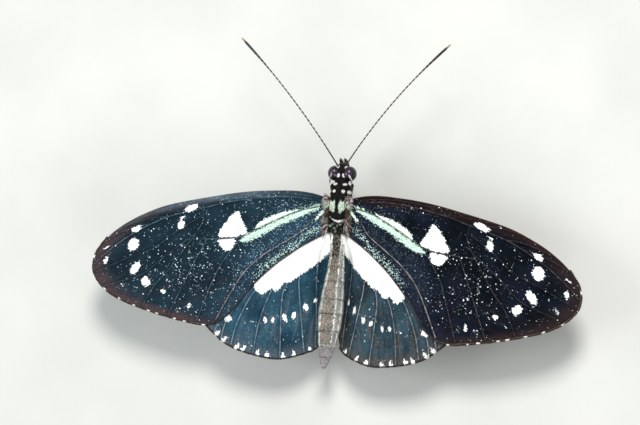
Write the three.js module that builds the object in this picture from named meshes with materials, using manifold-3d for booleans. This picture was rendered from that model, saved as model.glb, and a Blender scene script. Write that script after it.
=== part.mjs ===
// A false zebra longwing butterfly, life size, standing with its wings spread flat.
// Millimetres, +Z up. While it is drawn, x runs to the butterfly's right and y towards its
// head, with the middle of the thorax over x = y = 0 and the floor at z = 0. The finished
// group is then moved so that the origin is the middle of the underside of its box.
import * as THREE from 'three';
import { mergeVertices } from 'three/addons/utils/BufferGeometryUtils.js';
import Module from 'manifold-3d';

const wasm = await Module();
wasm.setup();

// Driving dimensions
const GAP = 0.3;                 // clearance between two parts that meet
const WELD_DISTANCE = 1e-5;
const WING_THICKNESS = 0.5;
const VEIN_RISE = 0.18;          // height of a main vein above each face of the wing
const VEIN_HALF_WIDTH = 0.38;
const VEIN_FADE = [0.25, 0.9];   // a vein sinks into the membrane over this distance from the margin
const WING_STATION = 1.9;        // spacing of the points along margins and veins
const WING_LATTICE = 3.2;        // spacing of the points on the open membrane
const WING_LATTICE_SIZE = { rows: 30, columns: 16, front: 4 };   // it starts at this y
const ROW_STEP = 0.87;           // rows of the lattice, as a share of its spacing
const MEMBRANE_CLEARANCE = 0.42; // from the other points, as a share of the lattice's spacing
const VEIN_CLEARANCE = 0.3;      // least distance of a vein's point from the other points
const MARGIN_CLEARANCE = 0.45;   // least distance of any point from the margin
const HINGE_X = 2;               // distance of the wing hinges from the body's middle
const FOREWING_HEIGHT = 8.6;     // height of the forewing hinge over the floor
const ARCH_SLOPE = 0.172;        // rise of the wing as it leaves the hinge
const ARCH_SAG = 0.0038;         // fall that bends the wing down again towards its tip
const TRAILING_DROOP = 0.001;    // fall of the membrane towards its rear edge
const WING_LAYER = 1.18;         // the hindwing's depth under the forewing
const GUTTER_DEPTH = 1.5;        // fold of the hindwing down beside the abdomen
const GUTTER_WIDTH = 1.9;
const GUTTER_X = 1.4;
const GUTTER_START = [3.5, 8.5]; // it deepens between these distances behind the thorax's middle
const FOREWING_SWEEP = { left: 0, right: 1.2 };   // degrees backwards about the hinge
const HINDWING_SWEEP = { left: 0, right: 0.8 };
const EYE_CENTRE = [1.3, 6.25, 7.75];
const EYE_RADII = [0.98, 1.3, 1.35];
const EYE_FACES = [18, 12];
const TEGULA_CENTRE = [2.0, 1.7, 9.75];
const TEGULA_RADII = [0.85, 1.15, 0.42];
const TEGULA_FACES = [12, 8];
const PALP_PATH = [[0.36, 7.3, 6.7], [0.38, 8.15, 7.0], [0.38, 8.5, 7.7], [0.36, 8.65, 8.45]];
const PALP_RADII = [0.3, 0.34, 0.3, 0.12];
const ANTENNA_BASE = [0.55, 7.35, 8.6];
const ANTENNA_TIP = [16.8, 26.3, 13.7];
const ANTENNA_BOW = [-0.55, 0.45, 0.7];           // how far its middle bends off the straight
const ANTENNA_RADII = { stem: 0.25, club: 0.36, tip: 0.16 };
const ANTENNA_SWELL = [0.62, 0.9];                // the club grows over this share of the length
const ANTENNA_TIP_START = 0.93;
const ANTENNA_STEPS = 14;
const TONGUE_ROOT = [0, 6.7, 6.6];
const TONGUE_COIL = { y: 7.35, z: 5.0, outer: 1.25, inner: 0.4, turns: 1.35, start: 95, steps: 22 };
const TONGUE_RADII = [0.26, 0.2];
const BAR_SIDES = 8;             // sides of a feeler, a palp and the tongue
const BODY_SIDES = 20;
const THORAX_RINGS = 3;          // rings for each row of the tables below
const HEAD_RINGS = 2;
const FLOOR_CUT = { size: 80, depth: 4 };         // block that flattens the soles

// Sections of the body from front to back:
// distance along y, height of the centre, half width, half height, shift to the side.
const HEAD_SECTIONS = [
  [8.0, 7.5, 0.4, 0.45, 0],
  [7.65, 7.6, 0.85, 0.95, 0],
  [6.9, 7.7, 1.15, 1.3, 0],
  [6.0, 7.75, 1.25, 1.4, 0],
  [5.2, 7.7, 1.15, 1.25, 0],
  [4.6, 7.7, 0.9, 0.95, 0],
];
const COLLAR_SECTIONS = [
  [4.85, 7.7, 0.8, 0.8, 0],
  [4.6, 7.7, 1.25, 1.15, 0],
  [4.0, 7.7, 1.6, 1.42, 0],
  [3.4, 7.65, 1.7, 1.55, 0],
  [2.8, 7.6, 1.5, 1.5, 0],
];
const THORAX_SECTIONS = [
  [3.5, 7.6, 0.9, 0.9, 0],
  [3.1, 7.6, 1.4, 1.45, 0],
  [2.1, 7.55, 1.8, 1.9, 0],
  [0.6, 7.5, 1.92, 2.05, 0],
  [-0.9, 7.5, 1.86, 1.95, 0],
  [-2.2, 7.6, 1.6, 1.65, 0],
  [-3.1, 7.75, 1.2, 1.25, 0],
  [-3.45, 7.8, 0.8, 0.85, 0],
];
const ABDOMEN_SECTIONS = [
  [-3.0, 7.8, 0.8, 0.85, 0],
  [-4.2, 7.95, 1.0, 1.1, 0.05],
  [-6.3, 8.05, 1.12, 1.25, 0.15],
  [-10.5, 8.1, 1.45, 1.42, 0.3],
  [-13.6, 8.1, 1.72, 1.5, 0.35],
  [-16.4, 8.0, 1.8, 1.5, 0.3],
  [-18.9, 7.9, 1.6, 1.38, 0.25],
  [-20.9, 7.75, 1.22, 1.12, 0.1],
  [-22.6, 7.6, 0.78, 0.75, 0],
  [-24.2, 7.5, 0.3, 0.3, -0.1],
];
const SEGMENT_LINES = [-6.3, -8.5, -10.5, -13.4, -15.8, -18.5, -20.7];
const SEGMENT_GROOVE = 0.07;
const SEGMENT_BULGE = [0.18, 0.8]; // between these shares of its length a segment has its full size

// The forewing seen from above: x outwards, y towards the head.
const FOREWING_FRONT = [
  [0.9, 1.7], [2.4, 2.45], [4.8, 2.95], [8.2, 3.0], [14.4, 2.4], [20.8, 1.1], [27.3, -0.5],
  [31.2, -2.1], [34.4, -3.9], [37.2, -6.2], [38.9, -8.7], [39.2, -11.2], [38.2, -13.1],
  [36.2, -14.8], [33.4, -16.1], [28.9, -17.4], [24.3, -18.4], [19.6, -19.0],
];
const FOREWING_INNER = [
  [19.6, -19.0], [17.6, -18.4], [16.0, -17.2], [14.5, -15.2], [12.2, -12.0], [9.3, -8.9],
  [6.0, -6.1], [3.4, -4.3], [1.2, -2.9],
];
const FOREWING_VEINS = [
  [[1.4, 1.5], [6.1, 2.0], [10.8, 1.8], [17.2, 0.6], [21.5, -0.7], [27.6, -2.6], [33.3, -5.7],
    [37.2, -8.7], [39.0, -10.5]],
  [[2.6, 2.2], [9.0, 2.5], [15.0, 1.85], [18.5, 1.5]],
  [[16.8, 0.7], [21.2, 0.4], [26.2, -0.25]],
  [[21.0, -0.6], [24.5, -0.6], [27.8, -1.0], [30.6, -1.9]],
  [[27.1, -2.4], [30.2, -2.8], [34.5, -4.2]],
  [[30.1, -3.7], [33.4, -4.6], [37.0, -6.3]],
  [[1.4, 1.2], [5.9, 0], [10.4, -2.3], [14.5, -4.6], [17.4, -5.3], [22.8, -5.7]],
  [[21.5, -0.7], [21.3, -2.9], [22.8, -5.7]],
  [[21.4, -1.8], [25.7, -4.8], [28.8, -7.4], [32.6, -9.0], [38.6, -11.8]],
  [[21.6, -4.2], [23.9, -6.1], [27.0, -8.7], [30.7, -11.8], [37.0, -14.0]],
  [[22.8, -5.7], [25.9, -10.4], [28.4, -13.6], [30.0, -16.9]],
  [[20.4, -5.7], [22.6, -10.7], [24.4, -15.1], [25.6, -17.9]],
  [[14.5, -4.7], [17.5, -9.1], [18.9, -12.6], [20.9, -18.5]],
  [[1.4, 0.2], [3.9, -1.7], [8.5, -5.5], [11.5, -7.8], [14.4, -11.2], [17.8, -18.1]],
];

// The hindwing seen from above.
const HINDWING_OUTER = [
  [1.0, -0.9], [2.8, -1.1], [6.4, -2.5], [11.2, -5.2], [15.8, -9.2], [18.8, -13.0],
  [20.2, -16.4], [19.6, -18.6], [17.7, -20.4], [16.0, -21.6], [13.6, -22.5], [10.6, -23.1],
  [7.6, -23.3], [4.9, -22.6], [2.8, -21.6], [1.9, -20.7],
];
const HINDWING_INNER = [
  [1.9, -20.7], [1.2, -17.5], [0.7, -12.5], [0.7, -8.0], [0.8, -5.4], [1.0, -4.0],
];
const HINDWING_VEINS = [
  [[1.4, -1.6], [5.6, -2.9], [10.3, -6.0], [14.7, -10.6], [18.2, -15.7], [19.3, -18.2]],
  [[1.4, -2.2], [5.0, -4.1], [8.7, -7.1], [11.9, -10.0], [14.5, -12.7], [16.6, -15.7], [17.9, -20.0]],
  [[11.9, -10.0], [14.3, -14.6], [16.2, -18.3], [16.8, -21.0]],
  [[10.4, -10.9], [12.5, -13.9], [14.4, -18.2], [15.2, -21.7]],
  [[8.5, -11.6], [9.9, -13.9], [11.1, -18.4], [11.6, -22.8]],
  [[7.0, -11.1], [7.7, -13.5], [7.6, -18.1], [7.3, -23.1]],
  [[5.1, -8.8], [5.3, -11.5], [4.6, -16.4], [3.7, -22.0]],
  [[1.4, -2.9], [3.2, -4.7], [4.4, -7.5], [5.5, -9.4], [7.0, -11.1], [8.5, -11.6]],
  [[8.5, -11.6], [10.4, -11.1], [11.9, -10.0]],
  [[1.7, -4.3], [2.7, -6.8], [2.8, -11.0], [2.4, -16.9], [2.3, -20.9]],
];

// The joints of a leg from the body to the foot, on the right side.
const SOLE_AXIS = 0.19;          // height of a foot's middle line while it lies on the floor
const MID_LEG = [
  [1.0, 0.7, 6.2], [4.9, 1.8, 6.0], [6.2, 2.1, 1.1], [6.9, 2.4, SOLE_AXIS], [8.6, 3.2, SOLE_AXIS],
];
const HIND_LEG = [
  [0.9, -1.4, 6.2], [4.6, -5.8, 5.4], [6.8, -9.9, 1.1], [7.3, -11.2, SOLE_AXIS],
  [8.2, -13.4, SOLE_AXIS],
];
const FORE_LEG = [[0.8, 3.0, 6.9], [1.25, 5.0, 5.5], [1.0, 2.5, 4.95]];
const LEG_RADII = [0.42, 0.3, 0.27, 0.27, 0.25];
const FORE_LEG_RADII = [0.3, 0.26, 0.22];
const LEG_SIDES = 7;
const KNEE_FACES = [8, 5];
const KNEE_SWELL = 1.08;         // a joint's ball beside the bar it ends

const SIDES = [['left', -1], ['right', 1]];

function material(colour, roughness) {
  return new THREE.MeshStandardMaterial({ color: colour, roughness, metalness: 0 });
}

const BODY_BLACK = material('#1b1a1c', 0.85);
const ABDOMEN_GREY = material('#6f675f', 0.85);
const EYE_BROWN = material('#2c1b24', 0.25);
const ANTENNA_BLACK = material('#17171a', 0.6);
const PALP_BROWN = material('#4a3327', 0.8);
const PROBOSCIS_DARK = material('#241a15', 0.5);
const TEGULA_GREY = material('#8c8079', 0.85);
const WING_BLUE = material('#15242f', 0.6);
const LEG_DARK = material('#2a2623', 0.7);

// Solids

function solidFromTriangles(points, triangles) {
  const mesh = new wasm.Mesh({
    numProp: 3,
    vertProperties: new Float32Array(points.flat()),
    triVerts: new Uint32Array(triangles.flat()),
  });
  return new wasm.Manifold(mesh);
}

function solidFromGeometry(geometry) {
  const bare = geometry.clone();
  bare.deleteAttribute('normal');
  bare.deleteAttribute('uv');
  const merged = mergeVertices(bare, WELD_DISTANCE);
  const mesh = new wasm.Mesh({
    numProp: 3,
    vertProperties: new Float32Array(merged.attributes.position.array),
    triVerts: new Uint32Array(merged.index.array),
  });
  return new wasm.Manifold(mesh);
}

function largestBody(solid) {
  const bodies = solid.decompose();
  return bodies.reduce((best, body) => (body.volume() > best.volume() ? body : best));
}

function meshFromSolid(name, solid, surface) {
  const { vertProperties, triVerts } = largestBody(solid).getMesh();
  const geometry = new THREE.BufferGeometry();
  geometry.setAttribute('position', new THREE.BufferAttribute(new Float32Array(vertProperties), 3));
  geometry.setIndex(new THREE.BufferAttribute(new Uint32Array(triVerts), 1));
  geometry.computeVertexNormals();
  const mesh = new THREE.Mesh(geometry, surface);
  mesh.name = name;
  return mesh;
}

// Joins closed rings of equal count, given from the first to the last, into one solid.
function loft(rings) {
  const count = rings[0].length;
  const points = rings.flat();
  const triangles = [];
  for (let row = 0; row + 1 < rings.length; row += 1) {
    for (let i = 0; i < count; i += 1) {
      const next = (i + 1) % count;
      const a = row * count + i;
      const b = row * count + next;
      triangles.push([a, b, b + count], [a, b + count, a + count]);
    }
  }
  const capStart = points.length;
  const last = (rings.length - 1) * count;
  const middle = (ring) => [0, 1, 2].map((k) => ring.reduce((sum, p) => sum + p[k], 0) / count);
  points.push(middle(rings[0]), middle(rings[rings.length - 1]));
  for (let i = 0; i < count; i += 1) {
    const next = (i + 1) % count;
    triangles.push([capStart, next, i], [capStart + 1, last + i, last + next]);
  }
  return solidFromTriangles(points, triangles);
}

// Smooth values between the rows of a list, each row an array of equal length.
function smoothRow(rows, at) {
  const index = Math.min(Math.floor(at), rows.length - 2);
  const t = at - index;
  const row = (k) => rows[THREE.MathUtils.clamp(k, 0, rows.length - 1)];
  const [p, q, r, s] = [row(index - 1), row(index), row(index + 1), row(index + 2)];
  return q.map((value, k) => value + 0.5 * t * (r[k] - p[k]
    + t * (2 * p[k] - 5 * value + 4 * r[k] - s[k] + t * (3 * (value - r[k]) + s[k] - p[k]))));
}

function sectionRing([y, z, halfWidth, halfHeight, shift], sides) {
  const ring = [];
  for (let i = 0; i < sides; i += 1) {
    const angle = (2 * Math.PI * i) / sides;
    ring.push([shift + halfWidth * Math.cos(angle), y, z + halfHeight * Math.sin(angle)]);
  }
  return ring;
}

function bodySolid(sections, ringsPerSection, grow = 0) {
  const rings = [];
  const last = (sections.length - 1) * ringsPerSection;
  for (let i = 0; i <= last; i += 1) {
    const [y, z, halfWidth, halfHeight, shift] = smoothRow(sections, i / ringsPerSection);
    const lengthen = i === 0 ? grow : i === last ? -grow : 0;
    rings.push(sectionRing([y + lengthen, z, halfWidth + grow, halfHeight + grow, shift], BODY_SIDES));
  }
  return loft(rings);
}

function sectionAt(sections, y) {
  let index = 0;
  while (index + 2 < sections.length && sections[index + 1][0] > y) index += 1;
  const t = (sections[index][0] - y) / (sections[index][0] - sections[index + 1][0]);
  return smoothRow(sections, index + t);
}

// The abdomen narrows in a shallow groove at each line between two of its rings.
function abdomenSolid(grow = 0) {
  const front = ABDOMEN_SECTIONS[0][0];
  const back = ABDOMEN_SECTIONS[ABDOMEN_SECTIONS.length - 1][0];
  const stops = [front, ...SEGMENT_LINES, back];
  const rings = [];
  const addRing = (y, inset) => {
    const [, z, halfWidth, halfHeight, shift] = sectionAt(ABDOMEN_SECTIONS, y);
    const size = grow - inset;
    rings.push(sectionRing([y, z, halfWidth + size, halfHeight + size, shift], BODY_SIDES));
  };
  for (let i = 0; i + 1 < stops.length; i += 1) {
    const length = stops[i] - stops[i + 1];
    addRing(stops[i] + (i === 0 ? grow : 0), SEGMENT_GROOVE);
    SEGMENT_BULGE.forEach((share) => addRing(stops[i] - share * length, 0));
  }
  addRing(back - grow, 0);
  return loft(rings);
}

function ellipsoid(centre, radii, faces) {
  const geometry = new THREE.SphereGeometry(1, ...faces);
  geometry.rotateX(Math.PI / 2);
  geometry.scale(...radii);
  geometry.translate(...centre);
  return solidFromGeometry(geometry);
}

// A round bar that runs through the given points, with its own radius at each.
function taperedBar(path, radii, sides) {
  const points = path.map((p) => new THREE.Vector3(...p));
  const rings = points.map((point, i) => {
    const before = points[Math.max(i - 1, 0)];
    const after = points[Math.min(i + 1, points.length - 1)];
    const along = after.clone().sub(before).normalize();
    const across = new THREE.Vector3(0, 0, 1).cross(along);
    if (across.length() < 0.05) across.set(1, 0, 0);
    across.normalize();
    const up = along.clone().cross(across);
    const ring = [];
    for (let k = 0; k < sides; k += 1) {
      const angle = (2 * Math.PI * k) / sides;
      const corner = point.clone()
        .addScaledVector(across, radii[i] * Math.cos(angle))
        .addScaledVector(up, radii[i] * Math.sin(angle));
      ring.push(corner.toArray());
    }
    return ring;
  });
  return loft(rings);
}

// Wings

function forewingHeight(x, y) {
  const reach = Math.max(x - HINGE_X, 0);
  const rear = Math.min(y, 0);
  return FOREWING_HEIGHT + ARCH_SLOPE * reach - ARCH_SAG * reach * reach - TRAILING_DROOP * rear * rear;
}

function hindwingHeight(x, y) {
  const fold = Math.exp(-(((x - GUTTER_X) / GUTTER_WIDTH) ** 2));
  const behindRoot = THREE.MathUtils.smoothstep(-y, ...GUTTER_START);
  return forewingHeight(x, y) - WING_LAYER - GUTTER_DEPTH * fold * behindRoot;
}

function spacedPoints(points, spacing) {
  const curve = new THREE.SplineCurve(points.map((p) => new THREE.Vector2(...p)));
  const steps = Math.max(Math.round(curve.getLength() / spacing), 2);
  return curve.getSpacedPoints(steps);
}

function isInside(point, outline) {
  let inside = false;
  for (let i = 0, j = outline.length - 1; i < outline.length; j = i, i += 1) {
    const [a, b] = [outline[i], outline[j]];
    const crosses = (a.y > point.y) !== (b.y > point.y);
    if (crosses && point.x < ((b.x - a.x) * (point.y - a.y)) / (b.y - a.y) + a.x) inside = !inside;
  }
  return inside;
}

function distanceToLine(point, line) {
  let best = Infinity;
  for (let i = 0; i + 1 < line.length; i += 1) {
    const step = line[i + 1].clone().sub(line[i]);
    const t = THREE.MathUtils.clamp(point.clone().sub(line[i]).dot(step) / step.lengthSq(), 0, 1);
    best = Math.min(best, point.distanceTo(line[i].clone().addScaledVector(step, t)));
  }
  return best;
}

// Splits the plane into triangles whose circles hold no other point.
function triangulate(points) {
  const far = 500;
  const all = [...points, new THREE.Vector2(-far, -far), new THREE.Vector2(far, -far),
    new THREE.Vector2(0, far)];
  const count = points.length;
  const withCircle = (a, b, c) => {
    const [p, q, r] = [all[a], all[b], all[c]];
    const turn = (q.x - p.x) * (r.y - p.y) - (q.y - p.y) * (r.x - p.x);
    const corners = turn > 0 ? [a, b, c] : [a, c, b];
    const d = 2 * turn;
    const [qx, qy, rx, ry] = [q.x - p.x, q.y - p.y, r.x - p.x, r.y - p.y];
    const cx = (ry * (qx * qx + qy * qy) - qy * (rx * rx + ry * ry)) / d;
    const cy = (qx * (rx * rx + ry * ry) - rx * (qx * qx + qy * qy)) / d;
    return { corners, x: p.x + cx, y: p.y + cy, square: cx * cx + cy * cy };
  };
  let triangles = [withCircle(count, count + 1, count + 2)];
  for (let i = 0; i < count; i += 1) {
    const holds = (t) => (all[i].x - t.x) ** 2 + (all[i].y - t.y) ** 2 < t.square;
    const rim = new Map();
    for (const t of triangles.filter(holds)) {
      for (let k = 0; k < 3; k += 1) {
        const [a, b] = [t.corners[k], t.corners[(k + 1) % 3]];
        if (!rim.delete(`${b},${a}`)) rim.set(`${a},${b}`, [a, b]);
      }
    }
    triangles = triangles.filter((t) => !holds(t));
    for (const [a, b] of rim.values()) triangles.push(withCircle(a, b, i));
  }
  return triangles.map((t) => t.corners).filter((corners) => corners.every((k) => k < count));
}

// The points of a wing: its margin, then each vein's crest and its two feet, then the membrane.
function wingPoints(outline, veins) {
  const points = [...outline];
  const rim = [...outline, outline[0]];
  const add = (point, clearance) => {
    const fromMargin = Math.max(clearance, MARGIN_CLEARANCE);
    if (!isInside(point, outline) || distanceToLine(point, rim) < fromMargin) return;
    if (points.some((other) => other.distanceTo(point) < clearance)) return;
    points.push(point);
  };
  for (const vein of veins) vein.forEach((point) => add(point.clone(), VEIN_CLEARANCE));
  for (const vein of veins) {
    vein.forEach((point, i) => {
      const along = vein[Math.min(i + 1, vein.length - 1)].clone().sub(vein[Math.max(i - 1, 0)]);
      const across = new THREE.Vector2(-along.y, along.x).setLength(VEIN_HALF_WIDTH);
      add(point.clone().add(across), VEIN_CLEARANCE);
      add(point.clone().sub(across), VEIN_CLEARANCE);
    });
  }
  for (let row = 0; row < WING_LATTICE_SIZE.rows; row += 1) {
    const y = WING_LATTICE_SIZE.front - row * ROW_STEP * WING_LATTICE;
    for (let column = 0; column < WING_LATTICE_SIZE.columns; column += 1) {
      const shift = row % 2 ? 0.5 : 0;
      add(new THREE.Vector2((column + shift) * WING_LATTICE, y), MEMBRANE_CLEARANCE * WING_LATTICE);
    }
  }
  return points;
}

// One wing as a solid: both faces carry the same triangles and the same raised veins.
function wingSolid(runs, veinPaths, heightAt, sweepDegrees, side) {
  const outline = runs.flatMap((run) => spacedPoints(run, WING_STATION).slice(0, -1));
  outline.push(new THREE.Vector2(...runs[runs.length - 1].at(-1)));
  const rim = [...outline, outline[0]];
  const veins = veinPaths.map((path) => spacedPoints(path, WING_STATION));
  const flat = wingPoints(outline, veins);
  const isKept = ([a, b, c]) => {
    const middle = flat[a].clone().add(flat[b]).add(flat[c]).divideScalar(3);
    return isInside(middle, outline);
  };
  const triangles = triangulate(flat).filter(isKept);

  const hinge = new THREE.Vector2(HINGE_X, 0);
  const sweep = -THREE.MathUtils.degToRad(sweepDegrees);
  const points = [1, -1].flatMap((face) => flat.map((point) => {
    const toVein = Math.min(...veins.map((vein) => distanceToLine(point, vein)));
    const toRim = distanceToLine(point, rim);
    const raised = VEIN_RISE * Math.max(1 - toVein / VEIN_HALF_WIDTH, 0)
      * THREE.MathUtils.smoothstep(toRim, ...VEIN_FADE);
    const placed = point.clone().rotateAround(hinge, sweep);
    const z = heightAt(placed.x, placed.y) + face * (WING_THICKNESS / 2 + raised);
    return [side * placed.x, placed.y, z];
  }));

  const count = flat.length;
  const edges = new Map();
  for (const [a, b, c] of triangles) {
    for (const [from, to] of [[a, b], [b, c], [c, a]]) {
      if (!edges.delete(`${to},${from}`)) edges.set(`${from},${to}`, [from, to]);
    }
  }
  const walls = [...edges.values()].flatMap(([a, b]) => [
    [b, a, a + count],
    [b, a + count, b + count],
  ]);
  const faces = triangles.flatMap(([a, b, c]) => [[a, b, c], [a + count, c + count, b + count]]);
  const closed = [...faces, ...walls];
  return solidFromTriangles(points, side > 0 ? closed : closed.map(([a, b, c]) => [a, c, b]));
}

// Legs and feelers

function mirrored(path, side) {
  return path.map(([x, y, z]) => [side * x, y, z]);
}

function legSolid(joints, radii, side) {
  const path = mirrored(joints, side);
  let leg = null;
  for (let i = 0; i + 1 < path.length; i += 1) {
    const joint = ellipsoid(path[i + 1], Array(3).fill(radii[i + 1] * KNEE_SWELL), KNEE_FACES);
    const part = taperedBar([path[i], path[i + 1]], [radii[i], radii[i + 1]], LEG_SIDES).add(joint);
    leg = leg ? leg.add(part) : part;
  }
  return leg;
}

function underFloor() {
  const block = new THREE.BoxGeometry(FLOOR_CUT.size, FLOOR_CUT.size, FLOOR_CUT.depth);
  block.translate(0, 0, -FLOOR_CUT.depth / 2);
  return solidFromGeometry(block);
}

function antennaSolid(side) {
  const path = [];
  const radii = [];
  for (let i = 0; i <= ANTENNA_STEPS; i += 1) {
    const t = i / ANTENNA_STEPS;
    const bow = 4 * t * (1 - t);
    path.push(ANTENNA_BASE.map((start, k) => start + (ANTENNA_TIP[k] - start) * t + bow * ANTENNA_BOW[k]));
    const swell = THREE.MathUtils.smoothstep(t, ...ANTENNA_SWELL);
    const end = THREE.MathUtils.smoothstep(t, ANTENNA_TIP_START, 1);
    const thick = THREE.MathUtils.lerp(ANTENNA_RADII.stem, ANTENNA_RADII.club, swell);
    radii.push(THREE.MathUtils.lerp(thick, ANTENNA_RADII.tip, end));
  }
  return taperedBar(mirrored(path, side), radii, BAR_SIDES);
}

function palpSolid(side) {
  return taperedBar(mirrored(PALP_PATH, side), PALP_RADII, BAR_SIDES);
}

// The tongue, rolled up under the face like a watch spring.
function tongueSolid() {
  const coil = TONGUE_COIL;
  const path = [TONGUE_ROOT];
  const radii = [TONGUE_RADII[0]];
  for (let i = 0; i <= coil.steps; i += 1) {
    const t = i / coil.steps;
    const angle = THREE.MathUtils.degToRad(coil.start) - 2 * Math.PI * coil.turns * t;
    const reach = THREE.MathUtils.lerp(coil.outer, coil.inner, t);
    path.push([0, coil.y + reach * Math.cos(angle), coil.z + reach * Math.sin(angle)]);
    radii.push(THREE.MathUtils.lerp(...TONGUE_RADII, t));
  }
  return rolledBar(path, radii, BAR_SIDES);
}

// A bar in the plane x = 0, whose sections always stand across that plane.
function rolledBar(path, radii, sides) {
  const rings = path.map(([, y, z], i) => {
    const before = path[Math.max(i - 1, 0)];
    const after = path[Math.min(i + 1, path.length - 1)];
    const along = new THREE.Vector2(after[1] - before[1], after[2] - before[2]).normalize();
    const ring = [];
    for (let k = 0; k < sides; k += 1) {
      const angle = (2 * Math.PI * k) / sides;
      const out = radii[i] * Math.sin(angle);
      ring.push([radii[i] * Math.cos(angle), y - along.y * out, z + along.x * out]);
    }
    return ring;
  });
  return loft(rings.reverse());
}

// Assembly

const butterfly = new THREE.Group();
butterfly.name = 'butterfly';

const thorax = bodySolid(THORAX_SECTIONS, THORAX_RINGS);
const thoraxRoom = bodySolid(THORAX_SECTIONS, THORAX_RINGS, GAP);
const collar = bodySolid(COLLAR_SECTIONS, HEAD_RINGS).subtract(thoraxRoom);
const collarRoom = bodySolid(COLLAR_SECTIONS, HEAD_RINGS, GAP);
const head = bodySolid(HEAD_SECTIONS, HEAD_RINGS).subtract(collarRoom);
const headRoom = bodySolid(HEAD_SECTIONS, HEAD_RINGS, GAP);
const abdomen = abdomenSolid().subtract(thoraxRoom);
const abdomenRoom = abdomenSolid(GAP);
const floorBlock = underFloor();

butterfly.add(meshFromSolid('head', head, BODY_BLACK));
butterfly.add(meshFromSolid('collar', collar, BODY_BLACK));
butterfly.add(meshFromSolid('thorax', thorax, BODY_BLACK));
butterfly.add(meshFromSolid('abdomen', abdomen, ABDOMEN_GREY));
butterfly.add(meshFromSolid('proboscis', tongueSolid().subtract(headRoom), PROBOSCIS_DARK));

for (const [name, side] of SIDES) {
  const [eyeCentre, tegulaCentre] = mirrored([EYE_CENTRE, TEGULA_CENTRE], side);
  const eye = ellipsoid(eyeCentre, EYE_RADII, EYE_FACES).subtract(headRoom).subtract(collarRoom);
  butterfly.add(meshFromSolid(`eye_${name}`, eye, EYE_BROWN));

  const antenna = antennaSolid(side).subtract(headRoom);
  butterfly.add(meshFromSolid(`antenna_${name}`, antenna, ANTENNA_BLACK));
  butterfly.add(meshFromSolid(`palp_${name}`, palpSolid(side).subtract(headRoom), PALP_BROWN));

  const tegula = ellipsoid(tegulaCentre, TEGULA_RADII, TEGULA_FACES)
    .subtract(thoraxRoom).subtract(collarRoom);
  butterfly.add(meshFromSolid(`tegula_${name}`, tegula, TEGULA_GREY));

  const forewing = wingSolid([FOREWING_FRONT, FOREWING_INNER], FOREWING_VEINS,
    forewingHeight, FOREWING_SWEEP[name], side).subtract(thoraxRoom);
  butterfly.add(meshFromSolid(`forewing_${name}`, forewing, WING_BLUE));

  const hindwing = wingSolid([HINDWING_OUTER, HINDWING_INNER], HINDWING_VEINS,
    hindwingHeight, HINDWING_SWEEP[name], side).subtract(thoraxRoom).subtract(abdomenRoom);
  butterfly.add(meshFromSolid(`hindwing_${name}`, hindwing, WING_BLUE));

  const foreLeg = legSolid(FORE_LEG, FORE_LEG_RADII, side).subtract(thoraxRoom).subtract(collarRoom);
  butterfly.add(meshFromSolid(`leg_fore_${name}`, foreLeg, LEG_DARK));
  for (const [pair, joints] of [['mid', MID_LEG], ['hind', HIND_LEG]]) {
    const leg = legSolid(joints, LEG_RADII, side).subtract(thoraxRoom).subtract(floorBlock);
    butterfly.add(meshFromSolid(`leg_${pair}_${name}`, leg, LEG_DARK));
  }
}

const box = new THREE.Box3().setFromObject(butterfly);
const middle = box.getCenter(new THREE.Vector3());
butterfly.position.set(-middle.x, -middle.y, -box.min.z);

export default butterfly;
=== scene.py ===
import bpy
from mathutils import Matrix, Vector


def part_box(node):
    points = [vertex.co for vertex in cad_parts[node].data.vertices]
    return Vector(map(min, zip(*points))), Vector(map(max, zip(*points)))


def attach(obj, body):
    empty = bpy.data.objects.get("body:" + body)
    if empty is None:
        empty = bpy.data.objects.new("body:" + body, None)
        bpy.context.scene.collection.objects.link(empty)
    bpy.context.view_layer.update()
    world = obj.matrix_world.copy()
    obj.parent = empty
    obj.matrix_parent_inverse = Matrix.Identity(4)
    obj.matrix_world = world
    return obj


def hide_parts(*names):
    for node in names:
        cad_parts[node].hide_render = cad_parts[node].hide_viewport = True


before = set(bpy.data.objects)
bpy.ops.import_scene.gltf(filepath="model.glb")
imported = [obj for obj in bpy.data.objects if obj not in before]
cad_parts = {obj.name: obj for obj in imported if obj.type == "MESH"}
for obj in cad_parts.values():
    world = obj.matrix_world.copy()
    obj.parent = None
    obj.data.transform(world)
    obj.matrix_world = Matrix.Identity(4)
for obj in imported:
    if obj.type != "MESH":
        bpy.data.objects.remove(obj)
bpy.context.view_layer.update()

# A false zebra longwing butterfly, standing with its wings spread flat. Shapes are worked out
# in millimetres: x to the butterfly's right, y towards its head, z up from the floor, with the
# middle of the thorax over x = y = 0. They are moved to the frame, in metres, when a mesh is made.
import math

import bpy
import numpy as np
from mathutils import Matrix, Vector, geometry

MM = 0.001
SIDES = (("left", -1), ("right", 1))
THORAX_MIDDLE_Y = 0.025          # middle of the thorax node along y, before the move to the frame
SEED = 4379

thorax_low, thorax_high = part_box("thorax")
SHIFT = np.array([
    (thorax_low.x + thorax_high.x) / 2 / MM,
    (thorax_low.y + thorax_high.y) / 2 / MM - THORAX_MIDDLE_Y,
    0.0,
])

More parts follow.
